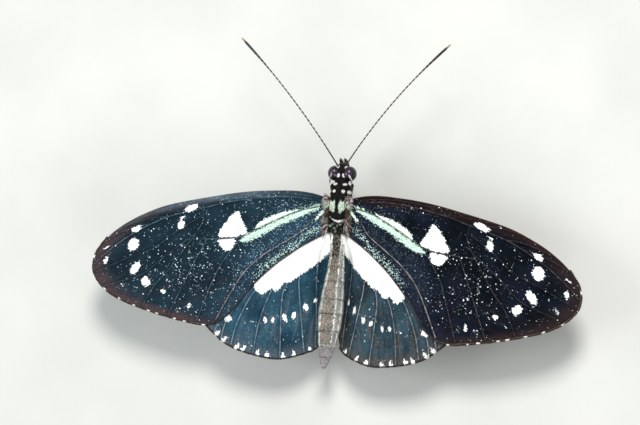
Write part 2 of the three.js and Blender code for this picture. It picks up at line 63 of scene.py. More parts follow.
# Wing surface, the same arch as in the solids
HINGE_X = 2.0
FOREWING_HEIGHT = 8.6
ARCH_SLOPE = 0.172
ARCH_SAG = 0.0038
TRAILING_DROOP = 0.001
WING_LAYER = 1.18
GUTTER_DEPTH = 1.5
GUTTER_WIDTH = 1.9
FOREWING_SWEEP = {"left": 0.0, "right": 1.2}
HINDWING_SWEEP = {"left": 0.0, "right": 0.8}
WING_GRAIN = 0.2                 # spacing of the points on a wing
RIM_GRAIN = 0.16                 # spacing along its margin and veins
WING_THICKNESS = 0.09
FOREWING_DROP = 0.1              # the thin wing's depth under the middle of its solid
HINDWING_LIFT = 0.12
OVERLAP_REACH = 3.0              # near their overlap the wings come closer, to about 0.25 mm
OVERLAP_DROP = 0.3
OVERLAP_LIFT = 0.42
GUTTER_X = 1.4
VEIN_HALF_WIDTH = 0.11
VEIN_HEIGHT = 0.055
PLEAT_DEPTH = 0.1

FOREWING_FRONT = [
    (0.9, 1.7), (2.4, 2.45), (4.8, 2.95), (8.2, 3.0), (14.4, 2.4), (20.8, 1.1), (27.3, -0.5),
    (31.2, -2.1), (34.4, -3.9), (37.2, -6.2), (38.9, -8.7), (39.2, -11.2), (38.2, -13.1),
    (36.2, -14.8), (33.4, -16.1), (28.9, -17.4), (24.3, -18.4), (19.6, -19.0),
]
FOREWING_INNER = [
    (19.6, -19.0), (17.6, -18.4), (16.0, -17.2), (14.5, -15.2), (12.2, -12.0), (9.3, -8.9),
    (6.0, -6.1), (3.4, -4.3), (1.2, -2.9),
]
FOREWING_VEINS = [
    [(1.4, 1.5), (6.1, 2.0), (10.8, 1.8), (17.2, 0.6), (21.5, -0.7), (27.6, -2.6), (33.3, -5.7),
     (37.2, -8.7), (39.0, -10.5)],
    [(2.6, 2.2), (9.0, 2.5), (15.0, 1.85), (18.5, 1.5)],
    [(16.8, 0.7), (21.2, 0.4), (26.2, -0.25)],
    [(21.0, -0.6), (24.5, -0.6), (27.8, -1.0), (30.6, -1.9)],
    [(27.1, -2.4), (30.2, -2.8), (34.5, -4.2)],
    [(30.1, -3.7), (33.4, -4.6), (37.0, -6.3)],
    [(1.4, 1.2), (5.9, 0), (10.4, -2.3), (14.5, -4.6), (17.4, -5.3), (22.8, -5.7)],
    [(21.5, -0.7), (21.3, -2.9), (22.8, -5.7)],
    [(21.4, -1.8), (25.7, -4.8), (28.8, -7.4), (32.6, -9.0), (38.6, -11.8)],
    [(21.6, -4.2), (23.9, -6.1), (27.0, -8.7), (30.7, -11.8), (37.0, -14.0)],
    [(22.8, -5.7), (25.9, -10.4), (28.4, -13.6), (30.0, -16.9)],
    [(20.4, -5.7), (22.6, -10.7), (24.4, -15.1), (25.6, -17.9)],
    [(14.5, -4.7), (17.5, -9.1), (18.9, -12.6), (20.9, -18.5)],
    [(1.4, 1.1), (2.4, 0.95), (3.4, -0.4), (4.3, -1.75), (5.5, -3.3), (8.5, -5.5), (11.5, -7.8),
     (14.4, -11.2), (17.8, -18.1)],
]
FOREWING_RIBS = [0.5, 0.2, 0.15, 0.2, 0.25, 0.25, 0.4, 0.3, 0.2, 0.25, 0.35, 0.5, 0.5, 1.0]
HINDWING_OUTER = [
    (1.0, -0.9), (2.8, -1.1), (6.4, -2.5), (11.2, -5.2), (15.8, -9.2), (18.8, -13.0),
    (20.2, -16.4), (19.6, -18.6), (17.7, -20.4), (16.0, -21.6), (13.6, -22.5), (10.6, -23.1),
    (7.6, -23.3), (4.9, -22.6), (2.8, -21.6), (1.9, -20.7),
]
HINDWING_INNER = [(1.9, -20.7), (1.2, -17.5), (0.7, -12.5), (0.7, -8.0), (0.8, -5.4), (1.0, -4.0)]
HINDWING_VEINS = [
    [(1.4, -1.6), (5.6, -2.9), (10.3, -6.0), (14.7, -10.6), (18.2, -15.7), (19.3, -18.2)],
    [(1.4, -2.2), (5.0, -4.1), (8.7, -7.1), (11.9, -10.0), (14.5, -12.7), (16.6, -15.7), (17.9, -20.0)],
    [(11.9, -10.0), (14.3, -14.6), (16.2, -18.3), (16.8, -21.0)],
    [(10.4, -10.9), (12.5, -13.9), (14.4, -18.2), (15.2, -21.7)],
    [(8.5, -11.6), (9.9, -13.9), (11.1, -18.4), (11.6, -22.8)],
    [(7.0, -11.1), (7.7, -13.5), (7.6, -18.1), (7.3, -23.1)],
    [(5.1, -8.8), (5.3, -11.5), (4.6, -16.4), (3.7, -22.0)],
    [(1.4, -2.9), (3.2, -4.7), (4.4, -7.5), (5.5, -9.4), (7.0, -11.1), (8.5, -11.6)],
    [(8.5, -11.6), (10.4, -11.1), (11.9, -10.0)],
    [(1.7, -4.3), (2.7, -6.8), (2.8, -11.0), (2.4, -16.9), (2.3, -20.9)],
]
HINDWING_RIBS = [0.5, 0.7, 0.7, 0.7, 0.6, 0.7, 0.7, 0.6, 0.3, 0.6]

# White and green marks of the forewing: outlines, and spots as x, y, half length, half width, tilt
CELL_PATCH = [
    (15.65, -0.8), (16.1, -0.95), (16.7, -1.45), (17.35, -2.35), (17.9, -3.2), (18.4, -4.1),
    (18.5, -5.1), (16.6, -5.08), (14.7, -4.68), (13.95, -4.1), (14.4, -3.1), (14.95, -2.15), (15.35, -1.35),
]
HALF_MOON = [(15.75, -5.15), (17.0, -5.25), (18.5, -5.45), (18.15, -6.45), (17.1, -7.25), (15.95, -6.65)]
PALE_STRIPE = [
    (6.1, 0.2), (7.2, -0.1), (8.65, -0.5), (9.9, -0.95), (10.8, -1.45), (11.6, -1.95), (12.15, -2.4),
    (12.5, -2.85), (12.65, -3.45), (12.1, -3.3), (10.6, -2.42), (9.3, -1.7), (7.9, -0.95), (6.6, -0.2),
]
GREEN_STRIPE = [
    (2.5, 1.3), (3.8, 1.0), (5.2, 0.4), (6.5, -0.25), (7.9, -1.0), (9.3, -1.75), (10.6, -2.5),
    (12.0, -3.3), (13.4, -4.05), (14.3, -4.7), (15.1, -5.55), (14.0, -5.6), (12.6, -5.0),
    (11.2, -4.2), (9.8, -3.25), (8.5, -2.45), (7.1, -1.8), (5.7, -1.05), (4.4, -0.3), (3.2, 0.4),
]
ROOT_STRIPE = [
    (1.7, 0.95), (2.1, 0.65), (2.6, 0.1), (3.1, -0.6), (3.55, -1.3), (3.2, -1.15), (2.6, -0.45), (1.9, 0.35),
]
DUSTED_LINE = [(2.2, -2.1), (4.4, -3.55), (6.0, -5.2), (7.6, -6.7), (9.5, -8.2), (11.1, -9.7), (12.6, -11.6)]
# line along which a painted bluish sheen lies on the forewing
BLUE_SHEEN_LINE = [(4.0, -1.7), (7.0, -3.8), (9.5, -5.6), (12.5, -7.8), (15.0, -11.5), (17.0, -15.5)]
FOREWING_SPOTS = [
    (23.35, -0.8, 1.3, 0.5, -24), (24.85, -3.6, 0.9, 0.55, -78), (24.8, -2.35, 0.42, 0.14, -28),
    (32.35, -4.6, 0.86, 0.44, -31), (32.6, -7.1, 1.1, 0.9, -60), (31.9, -10.85, 1.2, 0.66, -58),
    (29.9, -12.9, 0.85, 0.7, 54), (26.75, -14.3, 0.45, 0.38, 30), (22.3, -16.3, 0.52, 0.24, -76),
    (37.1, -9.95, 0.65, 0.36, -80), (37.2, -7.8, 0.5, 0.13, -34),
]
FOREWING_FAINT = [(24.1, -16.9, 0.5, 0.2, -41), (35.9, -12.4, 0.5, 0.2, -69), (33.6, -13.6, 0.35, 0.2, 0)]
FOREWING_DASHES = [
    (39.2, -9.4), (38.6, -12.0), (36.8, -14.3), (34.1, -15.7), (31.5, -16.7), (28.9, -17.4),
    (27.5, -17.8), (24.5, -18.4), (22.8, -18.5), (19.8, -18.95),
]

# White marks of the hindwing
HINDWING_BAR = [
    (0.1, -2.6), (1.6, -2.5), (4.0, -3.4), (7.0, -5.4), (9.5, -7.7), (12.0, -10.4), (12.95, -11.9),
    (12.25, -12.35), (11.85, -13.1), (11.2, -13.5), (10.5, -13.35), (9.9, -12.8), (9.4, -12.65),
    (8.9, -12.85), (8.35, -12.55), (7.7, -11.7), (7.1, -11.45), (6.6, -11.3), (5.9, -10.6),
    (5.3, -10.15), (4.7, -9.7), (4.0, -8.95), (3.3, -8.5), (2.6, -7.6), (1.4, -6.4),
    (0.1, -5.9),
]
HINDWING_SPOTS = [
    (15.9, -17.7, 0.68, 0.5, -30), (13.1, -18.3, 0.16, 0.12, 0), (12.1, -17.9, 0.16, 0.12, 0),
    (10.1, -17.5, 0.5, 0.24, -85), (8.95, -17.5, 0.52, 0.22, -80), (7.05, -16.9, 0.62, 0.3, 65),
    (5.7, -16.4, 0.62, 0.28, -80), (4.0, -15.0, 0.64, 0.34, 80), (2.8, -13.8, 0.5, 0.2, 88),
]
HINDWING_WEDGES = [
    (17.75, -20.5), (16.55, -21.25), (14.4, -22.2), (13.2, -22.35), (10.9, -22.75), (9.3, -22.9),
    (6.95, -22.8), (5.2, -22.4), (3.1, -21.1),
]
HINDWING_RED_DOTS = [(3.2, -3.6, 0.4, 0.3, 20), (2.6, -5.4, 0.35, 0.25, 80), (4.4, -5.6, 0.3, 0.22, 40)]

# Lines beside which the veins stay dark where they cross a mark
STRIPE_LINE = [(1.4, 1.2), (6, 0), (10.4, -2.3), (14.5, -4.7), (18.6, -5.4)]
ROOT_LINE = [(1.4, 1.1), (2.4, 0.95), (3.4, -0.4), (4.0, -1.3)]


# Curves and distances

OPEN_FINENESS, CLOSED_FINENESS = 40, 20      # points worked out from one given point to the next


def norms(vectors):
    return np.linalg.norm(vectors, axis=-1)


def unit(vectors):
    return vectors / np.linalg.norm(vectors, axis=-1, keepdims=True)


def ramp(value, low, high):
    """0 up to low, 1 from high on, and a smooth rise between them."""
    t = np.clip((value - low) / (high - low), 0, 1)
    return t * t * (3 - 2 * t)


def bell(distance, reach):
    """1 at distance 0, falling off softly over about the reach."""
    return np.exp(-((distance / reach) ** 2))


def lengths_along(line):
    return np.r_[0, np.cumsum(norms(np.diff(line, axis=0)))]


def even_steps(line, step):
    lengths = lengths_along(line)
    count = max(int(round(lengths[-1] / step)), 2)
    at = np.linspace(0, lengths[-1], count + 1)
    return np.stack([np.interp(at, lengths, column) for column in line.T], axis=1)


def curve(points, step, closed=False):
    """A smooth curve through the points, given back as points a step apart."""
    p = np.asarray(points, float)
    n = len(p) if closed else len(p) - 1
    t = np.linspace(0, n, n * (CLOSED_FINENESS if closed else OPEN_FINENESS) + 1)
    i = np.minimum(t.astype(int), n - 1)
    f = (t - i)[:, None]
    a, b, c, d = (p[(i + k) % n if closed else np.clip(i + k, 0, n)] for k in (-1, 0, 1, 2))
    line = b + 0.5 * f * (c - a + f * (2 * a - 5 * b + 4 * c - d + f * (3 * (b - c) + d - a)))
    return even_steps(line, step)


def rounded(line, times):
    """The line with its corners rounded off, a little more each time."""
    for _ in range(times):
        line[1:-1] = (line[:-2] + 2 * line[1:-1] + line[2:]) / 4
    return line


def distance_to_line(points, line):
    best = np.full(len(points), np.inf)
    for a, b in zip(line[:-1], line[1:]):
        step = b - a
        t = np.clip(((points - a) @ step) / (step @ step), 0, 1)
        gap = points - a - t[:, None] * step
        best = np.minimum(best, gap[:, 0] ** 2 + gap[:, 1] ** 2)
    return np.sqrt(best)


def is_inside(points, loop):
    inside = np.zeros(len(points), bool)
    x, y = points.T
    for a, b in zip(loop[:-1], loop[1:]):
        if a[1] != b[1]:
            crosses = (a[1] > y) != (b[1] > y)
            inside ^= crosses & (x < (b[0] - a[0]) * (y - a[1]) / (b[1] - a[1]) + a[0])
    return inside


def depth_in_outline(points, outline, step=0.25):
    """How far inside a closed outline each point lies, negative outside."""
    loop = curve(outline, step, closed=True)
    return np.where(is_inside(points, loop), 1, -1) * distance_to_line(points, loop)


def depth_in_spots(points, spots):
    """Roughly the same for the nearest of some ovals."""
    best = np.full(len(points), -9.0)
    for x, y, half_length, half_width, tilt in spots:
        c, s = math.cos(math.radians(tilt)), math.sin(math.radians(tilt))
        dx, dy = points[:, 0] - x, points[:, 1] - y
        reach = np.hypot((c * dx + s * dy) / half_length, (c * dy - s * dx) / half_width)
        best = np.maximum(best, (1 - reach) * math.sqrt(half_length * half_width))
    return best


# Meshes

BAR_SIDES = 12                   # of antennae and legs
BLADE_STATIONS = ((0.0, 0.55, -0.06), (0.45, 1.0, 0.48), (1.0, 0.22, 0.65))   # along, width, rise
BLADE_FULLNESS = 0.45            # thickness of a blade, for its half width
PATCH_SIZE = 0.003               # of one blade on the unwrap


def to_frame(points):
    return (np.asarray(points, float) + SHIFT) * MM


def add_object(name, data):
    thing = bpy.data.objects.new(name, data)
    bpy.context.scene.collection.objects.link(thing)
    return thing


def make_mesh(name, points, faces, material, values=None, tone=None, uv=None, uv_turn=0.0):
    """A mesh in the frame, from points in millimetres. faces is a list of arrays of equal width.

    values and tone give numbers and a colour to each point. Where uv goes once round a form,
    uv_turn is its width there, so that no face runs back across it."""
    mesh = bpy.data.meshes.new(name)
    blocks = [np.asarray(f, np.int32) for f in faces]
    loops = np.concatenate([f.ravel() for f in blocks])
    sizes = np.concatenate([np.full(len(f), f.shape[1], np.int32) for f in blocks])
    mesh.vertices.add(len(points))
    mesh.vertices.foreach_set("co", to_frame(points).astype(np.float32).ravel())
    mesh.loops.add(len(loops))
    mesh.loops.foreach_set("vertex_index", loops)
    mesh.polygons.add(len(sizes))
    mesh.polygons.foreach_set("loop_start", np.r_[0, np.cumsum(sizes)[:-1]].astype(np.int32))
    mesh.polygons.foreach_set("loop_total", sizes)
    mesh.polygons.foreach_set("use_smooth", np.ones(len(sizes), bool))
    mesh.update(calc_edges=True)
    mesh.validate()
    for key, array in (values or {}).items():
        layer = mesh.attributes.new(key, "FLOAT", "POINT")
        layer.data.foreach_set("value", np.asarray(array, np.float32))
    if tone is not None:
        layer = mesh.attributes.new("tone", "FLOAT_COLOR", "POINT")
        layer.data.foreach_set("color", np.c_[tone, np.ones(len(tone))].astype(np.float32).ravel())
    if uv is not None:
        corners = [uv[block] for block in blocks]
        for corner in corners:
            u = corner[:, :, 0]
            behind = u.max(axis=1, keepdims=True) - u > uv_turn / 2
            corner[:, :, 0] = u + uv_turn * behind
        flat = np.concatenate([corner.reshape(-1, 2) for corner in corners])
        mesh.uv_layers.new(name="OFBake").data.foreach_set("uv", flat.astype(np.float32).ravel())
    mesh.materials.append(material)
    piece = add_object(name, mesh)
    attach(piece, "root")
    return piece


def ring_faces(rows, count):
    """Quads between the rows of a loft of closed rings, and the triangles of its two ends."""
    i = np.arange(count)
    j = (i + 1) % count
    quads = [np.c_[r * count + i, r * count + j, (r + 1) * count + j, (r + 1) * count + i]
             for r in range(rows - 1)]
    low, high, last = rows * count, rows * count + 1, (rows - 1) * count
    caps = np.r_[np.c_[np.full(count, low), j, i], np.c_[np.full(count, high), last + i, last + j]]
    return np.concatenate(quads), caps


class Tubes:
    """Gathers round bars for one mesh."""

    def __init__(self):
        self.points, self.quads, self.caps, self.values = [], [], [], {}
        self.count = 0

    def add(self, path, radii, sides, values=None):
        """A bar along a path with a radius at each of its points, and its two middle end points."""
        path = np.asarray(path, float)
        along = unit(np.gradient(path, axis=0))
        across = np.cross(along[0], (0, 0, 1.0))
        if norms(across) < 0.1:
            across = np.cross(along[0], (1.0, 0, 0))
        angles = np.linspace(0, 2 * math.pi, sides, endpoint=False)[:, None]
        rings = []
        for centre, way, radius in zip(path, along, radii):
            across = unit(across - way * (across @ way))
            rings.append(centre + radius * (np.cos(angles) * across - np.sin(angles) * np.cross(across, way)))
        quads, caps = ring_faces(len(path), sides)
        self.quads.append(quads + self.count)
        self.caps.append(caps + self.count)
        self.points += [*rings, path[:1], path[-1:]]
        self.count += len(path) * sides + 2
        for key, value in (values or {}).items():
            self.values.setdefault(key, []).append(value)

    def make(self, name, material):
        faces = [np.concatenate(self.quads), np.concatenate(self.caps)]
        values = {key: np.concatenate(parts) for key, parts in self.values.items()}
        return make_mesh(name, np.concatenate(self.points), faces, material, values)


def ball(centre, radii, rows, count, side):
    """Points and faces of an oval, turned over to the left where side is -1."""
    angles = np.linspace(0, math.pi, rows + 2)[1:-1]
    around = np.linspace(0, 2 * math.pi, count, endpoint=False)
    points = [np.c_[np.sin(a) * np.cos(around), np.sin(a) * np.sin(around), np.full(count, math.cos(a))]
              for a in angles[::-1]]
    points = np.concatenate([*points, [(0, 0, -1.0)], [(0, 0, 1.0)]])
    faces = ring_faces(rows, count)
    return (points * radii + centre) * (side, 1, 1), [f if side > 0 else f[:, ::-1] for f in faces]


def grow(name, roots, normals, ways, lengths, widths, lift, tones, places, material):
    """A closed blade for each root, lying along its way and lifted off the surface below it.

    places are the roots' places on an unwrap of that surface."""
    ways = unit(ways - normals * np.sum(ways * normals, axis=1)[:, None])
    across = np.cross(ways, normals)
    rings = []
    for along, width, rise in BLADE_STATIONS:
        centre = roots + ways * (lengths * along)[:, None] + normals * (lengths * lift * rise)[:, None]
        half = (widths * width)[:, None] / 2
        top = centre + normals * (half * BLADE_FULLNESS)
        rings.append(np.stack([centre + across * half, top, centre - across * half], axis=1))
    points = np.concatenate(rings, axis=1).reshape(-1, 3)
    base = 9 * np.arange(len(roots))[:, None, None]
    quads = [(r + a, r + b, r + b + 3, r + a + 3) for r in (0, 3) for a, b in ((0, 1), (1, 2), (2, 0))]
    caps = [(0, 2, 1), (6, 7, 8)]
    faces = [(base + np.array(quads)).reshape(-1, 4), (base + np.array(caps)).reshape(-1, 3)]
    patch = np.array([(a, b) for b in (-1, 0, 1) for a in (-1, 0, 1)]) * PATCH_SIZE / 2
    uv = np.repeat(places, 9, axis=0) + np.tile(patch, (len(roots), 1))
    piece = make_mesh(name, points, faces, material, tone=np.repeat(tones, 9, axis=0), uv=uv)


# Materials

def rgb(*screen):
    """Linear light for a colour given as on a screen, from 0 to 255."""
    v = np.array(screen) / 255
    return np.where(v <= 0.04045, v / 12.92, ((v + 0.055) / 1.055) ** 2.4)


class Wire:
    """What a node gives out, so that sums of nodes are written as sums."""

    def __init__(self, surface, socket):
        self.surface, self.socket = surface, socket

    def __add__(self, other):
        return self.surface.math("ADD", self, other)

    def __sub__(self, other):
        return self.surface.math("SUBTRACT", self, other)

    def __rsub__(self, other):
        return self.surface.math("SUBTRACT", other, self)

    def __mul__(self, other):
        return self.surface.math("MULTIPLY", self, other)


class Surface:
    """A material and short calls for its nodes."""

    def __init__(self, name, **settings):
        self.material = bpy.data.materials.new(name)
        self.material.use_nodes = True
        self.nodes = self.material.node_tree.nodes
        self.links = self.material.node_tree.links
        self.shader = self.nodes["Principled BSDF"]
        for key, value in settings.items():
            self.put(value, self.shader.inputs[key.replace("_", " ")])
        self.place = self.node("TexCoord", "Object")

    def put(self, value, socket):
        if isinstance(value, Wire):
            self.links.new(value.socket, socket)
        else:
            socket.default_value = (*value, 1.0) if socket.type == "RGBA" else value

    def node(self, kind, output, inputs=None, **settings):
        """An output of a new node, with its settings set and its inputs filled."""
        node = self.nodes.new("ShaderNode" + kind)
        for key, value in settings.items():
            setattr(node, key, value)
        for key, value in (inputs or {}).items():
            self.put(value, node.inputs[key])
        return Wire(self, node.outputs[output])

    def value(self, name):
        return self.node("Attribute", "Fac", attribute_name=name)

    def tone(self):
        return self.node("Attribute", "Color", attribute_name="tone")

    def math(self, operation, a, b):
        return self.node("Math", 0, {0: a, 1: b}, operation=operation)

    def ramp(self, value, low, high, to_low=0.0, to_high=1.0):
        inputs = {"Value": value, "From Min": low, "From Max": high, "To Min": to_low, "To Max": to_high}
        return self.node("MapRange", 0, inputs, interpolation_type="SMOOTHSTEP")

    def mix(self, share, a, b):
        return self.node("Mix", 2, {0: share, 6: a, 7: b}, data_type="RGBA")

    def stretched(self, length, turn):
        """The place, so that a texture comes out longer along x turned by this many degrees."""
        inputs = {"Vector": self.place, "Scale": (length, 1, 1), "Rotation": (0, 0, math.radians(turn))}
        return self.node("Mapping", 0, inputs, vector_type="TEXTURE")

    def noise(self, size, detail=2.0, place=None):
        """Smooth noise from 0 to 1 whose lumps are about this many millimetres across."""
        inputs = {"Vector": place or self.place, "Scale": 1 / (size * MM), "Detail": detail}
        return self.node("TexNoise", "Fac", inputs)

    def cells(self, size, place=None):
        """How far from the middle of its cell a point is, and three random numbers of the cell."""
        inputs = {"Vector": place or self.place, "Scale": 1 / (size * MM)}
        colour = self.node("TexVoronoi", "Color", inputs)
        distance = Wire(self, colour.socket.node.outputs["Distance"])
        red = self.node("SeparateColor", 0, {0: colour})
        return [distance, *(Wire(self, output) for output in red.socket.node.outputs)]

    def bump(self, height, depth, strength=0.5):
        """Bumps of this many millimetres where height goes from 0 to 1."""
        inputs = {"Strength": strength, "Distance": depth * MM, "Height": height}
        self.put(self.node("Bump", 0, inputs), self.shader.inputs["Normal"])

    def finish(self, colour):
        self.put(colour, self.shader.inputs["Base Color"])
        return self.material


def hair_material(name):
    s = Surface(name, Roughness=0.6, Specular_IOR_Level=0.15)
    tone = s.mix(s.ramp(s.noise(0.15), 0.35, 0.7, 0.0, 0.3), s.tone(), HAIR_SHADE)
    s.bump(s.noise(0.06), 0.01)
    return s.finish(tone)


NIGHT = (0.0, 0.0, 0.0)
HAIR_SHADE = (0.006, 0.005, 0.005)
SKIN_SHADE = (0.004, 0.0035, 0.0035)
WHITE_SCALES = rgb(246, 248, 244)
WHITE_SHADE = rgb(205, 214, 220)
PALE_SCALES = rgb(222, 236, 224)
GREEN_SCALES = rgb(194, 222, 206)
GREEN_SHADE = rgb(110, 136, 120)
DUST_SCALES = rgb(196, 224, 214)
DOT_SCALES = rgb(232, 242, 250)
RED_SCALES = rgb(150, 30, 22)
UNDER_CLOUDS = rgb(66, 54, 52)
MARK_LINE = rgb(30, 22, 22)      # the veins where they cross a mark
WING_SHINE = rgb(170, 200, 235)

WHITE_HAIR = rgb(248, 249, 244)
BLACK_HAIR = rgb(10, 9, 10)
MINT_HAIR = rgb(218, 236, 216)
BROWN_HAIR = rgb(92, 74, 62)
GREY_HAIR = rgb(128, 120, 112)
PINK_HAIR = rgb(176, 150, 152)
FRINGE_DARK = rgb(52, 42, 40)
FRINGE_INNER = rgb(26, 36, 42)


def specks(s, size, share, small, large):
    """Loose single scales: where share of the cells hold one, from small to large of a cell."""
    distance, pick, width, light = s.cells(size)
    dot = s.ramp(s.ramp(width, 0.0, 1.0, small, large) - distance, -0.03, 0.05)
    dot = dot * s.math("LESS_THAN", pick, share)
    return dot * s.ramp(light, 0.0, 0.7, 0.5, 1.0)


def wing_material(name, lie, shine, under, ground, painted_sheen, specks_and_sheen, brown, edge, rib_colour,
                  rosy=NIGHT, painted_blue_sheen=NIGHT, band=NIGHT):
    """Scales on a wing: dark ground with a painted bluish sheen and painted shade beside the veins, brown
    borders, white and green marks.
    """
    s = Surface(name, Specular_IOR_Level=shine, Specular_Tint=WING_SHINE)
    upper = s.value("upper")
    grain = s.cells(0.1)[1]
    lumps = s.noise(0.22, 3.0)
    teeth = s.noise(0.2, 2.0, s.stretched(3.2, lie))
    clouds = s.ramp(s.noise(4.0, 3.0), 0.3, 0.7)
    streaks = s.noise(0.7, 3.0, s.stretched(7.0, lie))

    # painted sheen: in soft clouds the dark ground is lightened towards a bluish sheen colour, as far as the
    # sheen field reaches
    top = s.mix(clouds * s.value("painted_sheen"), ground, painted_sheen)
    # painted sheen: a bluish streak, in lumps, where the sheen streak field says
    top = s.mix(s.ramp(lumps, 0.3, 0.65, 0.25, 1.0) * s.value("painted_blue_sheen"), top, painted_blue_sheen)
    top = s.mix(s.ramp(streaks, 0.45, 0.72) * s.value("streak"), top, brown)
    top = s.mix(s.value("tint") * s.ramp(lumps, 0.25, 0.6, 0.6, 1.0), top, brown)
    # front band: the red-brown of the right forewing, and on the left a painted bluish-grey sheen
    top = s.mix(s.value("band") * s.ramp(streaks, 0.3, 0.7, 0.5, 1.0), top, band)
    base = s.mix(upper, s.mix(clouds, under, UNDER_CLOUDS), top)
    base = s.mix(s.ramp(grain, 0.0, 1.0, 0.0, 0.45), base, NIGHT)

    to_vein = s.value("vein")
    broken = s.ramp(s.noise(0.9, 3.0), 0.38, 0.62, 0.35, 1.0)
    rib = s.ramp(to_vein, 0.03, 0.12, 1.0, 0.0) * broken * s.value("rib")
    # painted shade: each cell is darkened beside its veins, so that its middle looks lit
    base = s.mix(s.ramp(to_vein, 0.08, 0.65, 0.38, 0.0), base, NIGHT)
    base = s.mix(rib, base, s.mix(s.value("rosy"), rib_colour, rosy))

    ragged = (teeth - 0.5) * 1.1 + (lumps - 0.5) * 0.35 - 0.05
    chance = s.cells(0.13)[1] * 0.62 + s.ramp(teeth, 0.3, 0.7) * 0.38
    # fine specks: pale scales, and in the sheen streak bluish specks that stand for a painted sheen
    base = s.mix(specks(s, 0.14, s.value("specks_and_sheen") * upper, 0.2, 0.5), base, specks_and_sheen)
    base = s.mix(specks(s, 0.16, s.value("dusted") * upper, 0.28, 0.6), base, DUST_SCALES)
    for key, tone in (("green", GREEN_SCALES), ("pale", PALE_SCALES)):
        here = s.ramp(s.value(key) - chance, -0.06, 0.06)
        tone = s.mix(s.ramp(teeth, 0.35, 0.65, 0.0, 0.35), tone, GREEN_SHADE)
        base = s.mix(here * upper, base, tone)

    clusters = s.ramp(s.noise(1.3), 0.42, 0.68, 0.06, 2.5)
    share = s.value("dust") * clusters * upper + s.ramp(s.value("white"), -0.3, -0.05, 0.0, 0.12)
    base = s.mix(specks(s, 0.19, share, 0.12, 0.55), base, DOT_SCALES)

    white = s.ramp(s.value("white") + ragged, -0.03, 0.05)
    base = s.mix(white, base, s.mix(s.ramp(grain, 0.3, 1.0, 0.0, 0.1), WHITE_SCALES, WHITE_SHADE))
    on_mark = s.math("MAXIMUM", white, s.math("MAXIMUM", s.value("green"), s.value("pale")))
    dark_line = s.ramp(to_vein, 0.07, 0.2, 1.0, 0.0) * s.value("ribbing")
    base = s.mix(dark_line * on_mark, base, MARK_LINE)
    red = s.ramp(s.value("red") + ragged, -0.03, 0.05)
    base = s.mix(red * (1.0 - upper), base, RED_SCALES)
    base = s.mix(s.ramp(s.value("rim"), 0.03, 0.12, 0.8, 0.0), base, edge)

    s.bump(grain * 0.5 + s.noise(0.12), 0.02)
    s.put(s.ramp(on_mark, 0.0, 1.0, 0.5, 0.8), s.shader.inputs["Roughness"])
    return s.finish(base)


# Wings

RIM_TAPER = 0.35                 # width of the wing's thinner rim
WAVE_HEIGHT = 0.05
FRINGE_STEP = 0.05
FRINGE_SHORT_TO = 19.4           # the forewing's fringe is short where x is below this
FRINGE_WHITE = 0.26              # half length of a white dash in the fringe
FRINGE_ROWS_APART = 0.024
CROWDING = 0.055                 # of two points closer than about this, one is left out
PAGE_EDGE = 0.01                 # free edge of the unwrap
FOREWING_PAGE, HINDWING_PAGE = 0.0215, 0.0208    # share of the unwrap for each millimetre
WEDGE_DEPTH = 1.05               # of a white wedge on the hindwing's margin
WEDGE_HALF_WIDTH = 0.42


def arch_height(x, y):
    reach = np.maximum(x - HINGE_X, 0)
    rear = np.minimum(y, 0)
    return FOREWING_HEIGHT + ARCH_SLOPE * reach - ARCH_SAG * reach ** 2 - TRAILING_DROOP * rear ** 2


def near_overlap(x, y):
    """1 where the forewing's rear margin lies over the hindwing, 0 far from it."""
    return bell(distance_to_line(np.c_[x, y], curve(FOREWING_INNER, 0.5)), OVERLAP_REACH)


def forewing_height(x, y):
    return arch_height(x, y) - FOREWING_DROP - OVERLAP_DROP * near_overlap(x, y)


def hindwing_height(x, y):
    gutter = GUTTER_DEPTH * bell(x - GUTTER_X, GUTTER_WIDTH) * ramp(-y, 3.5, 8.5)
    return arch_height(x, y) - WING_LAYER - gutter + HINDWING_LIFT + OVERLAP_LIFT * near_overlap(x, y)


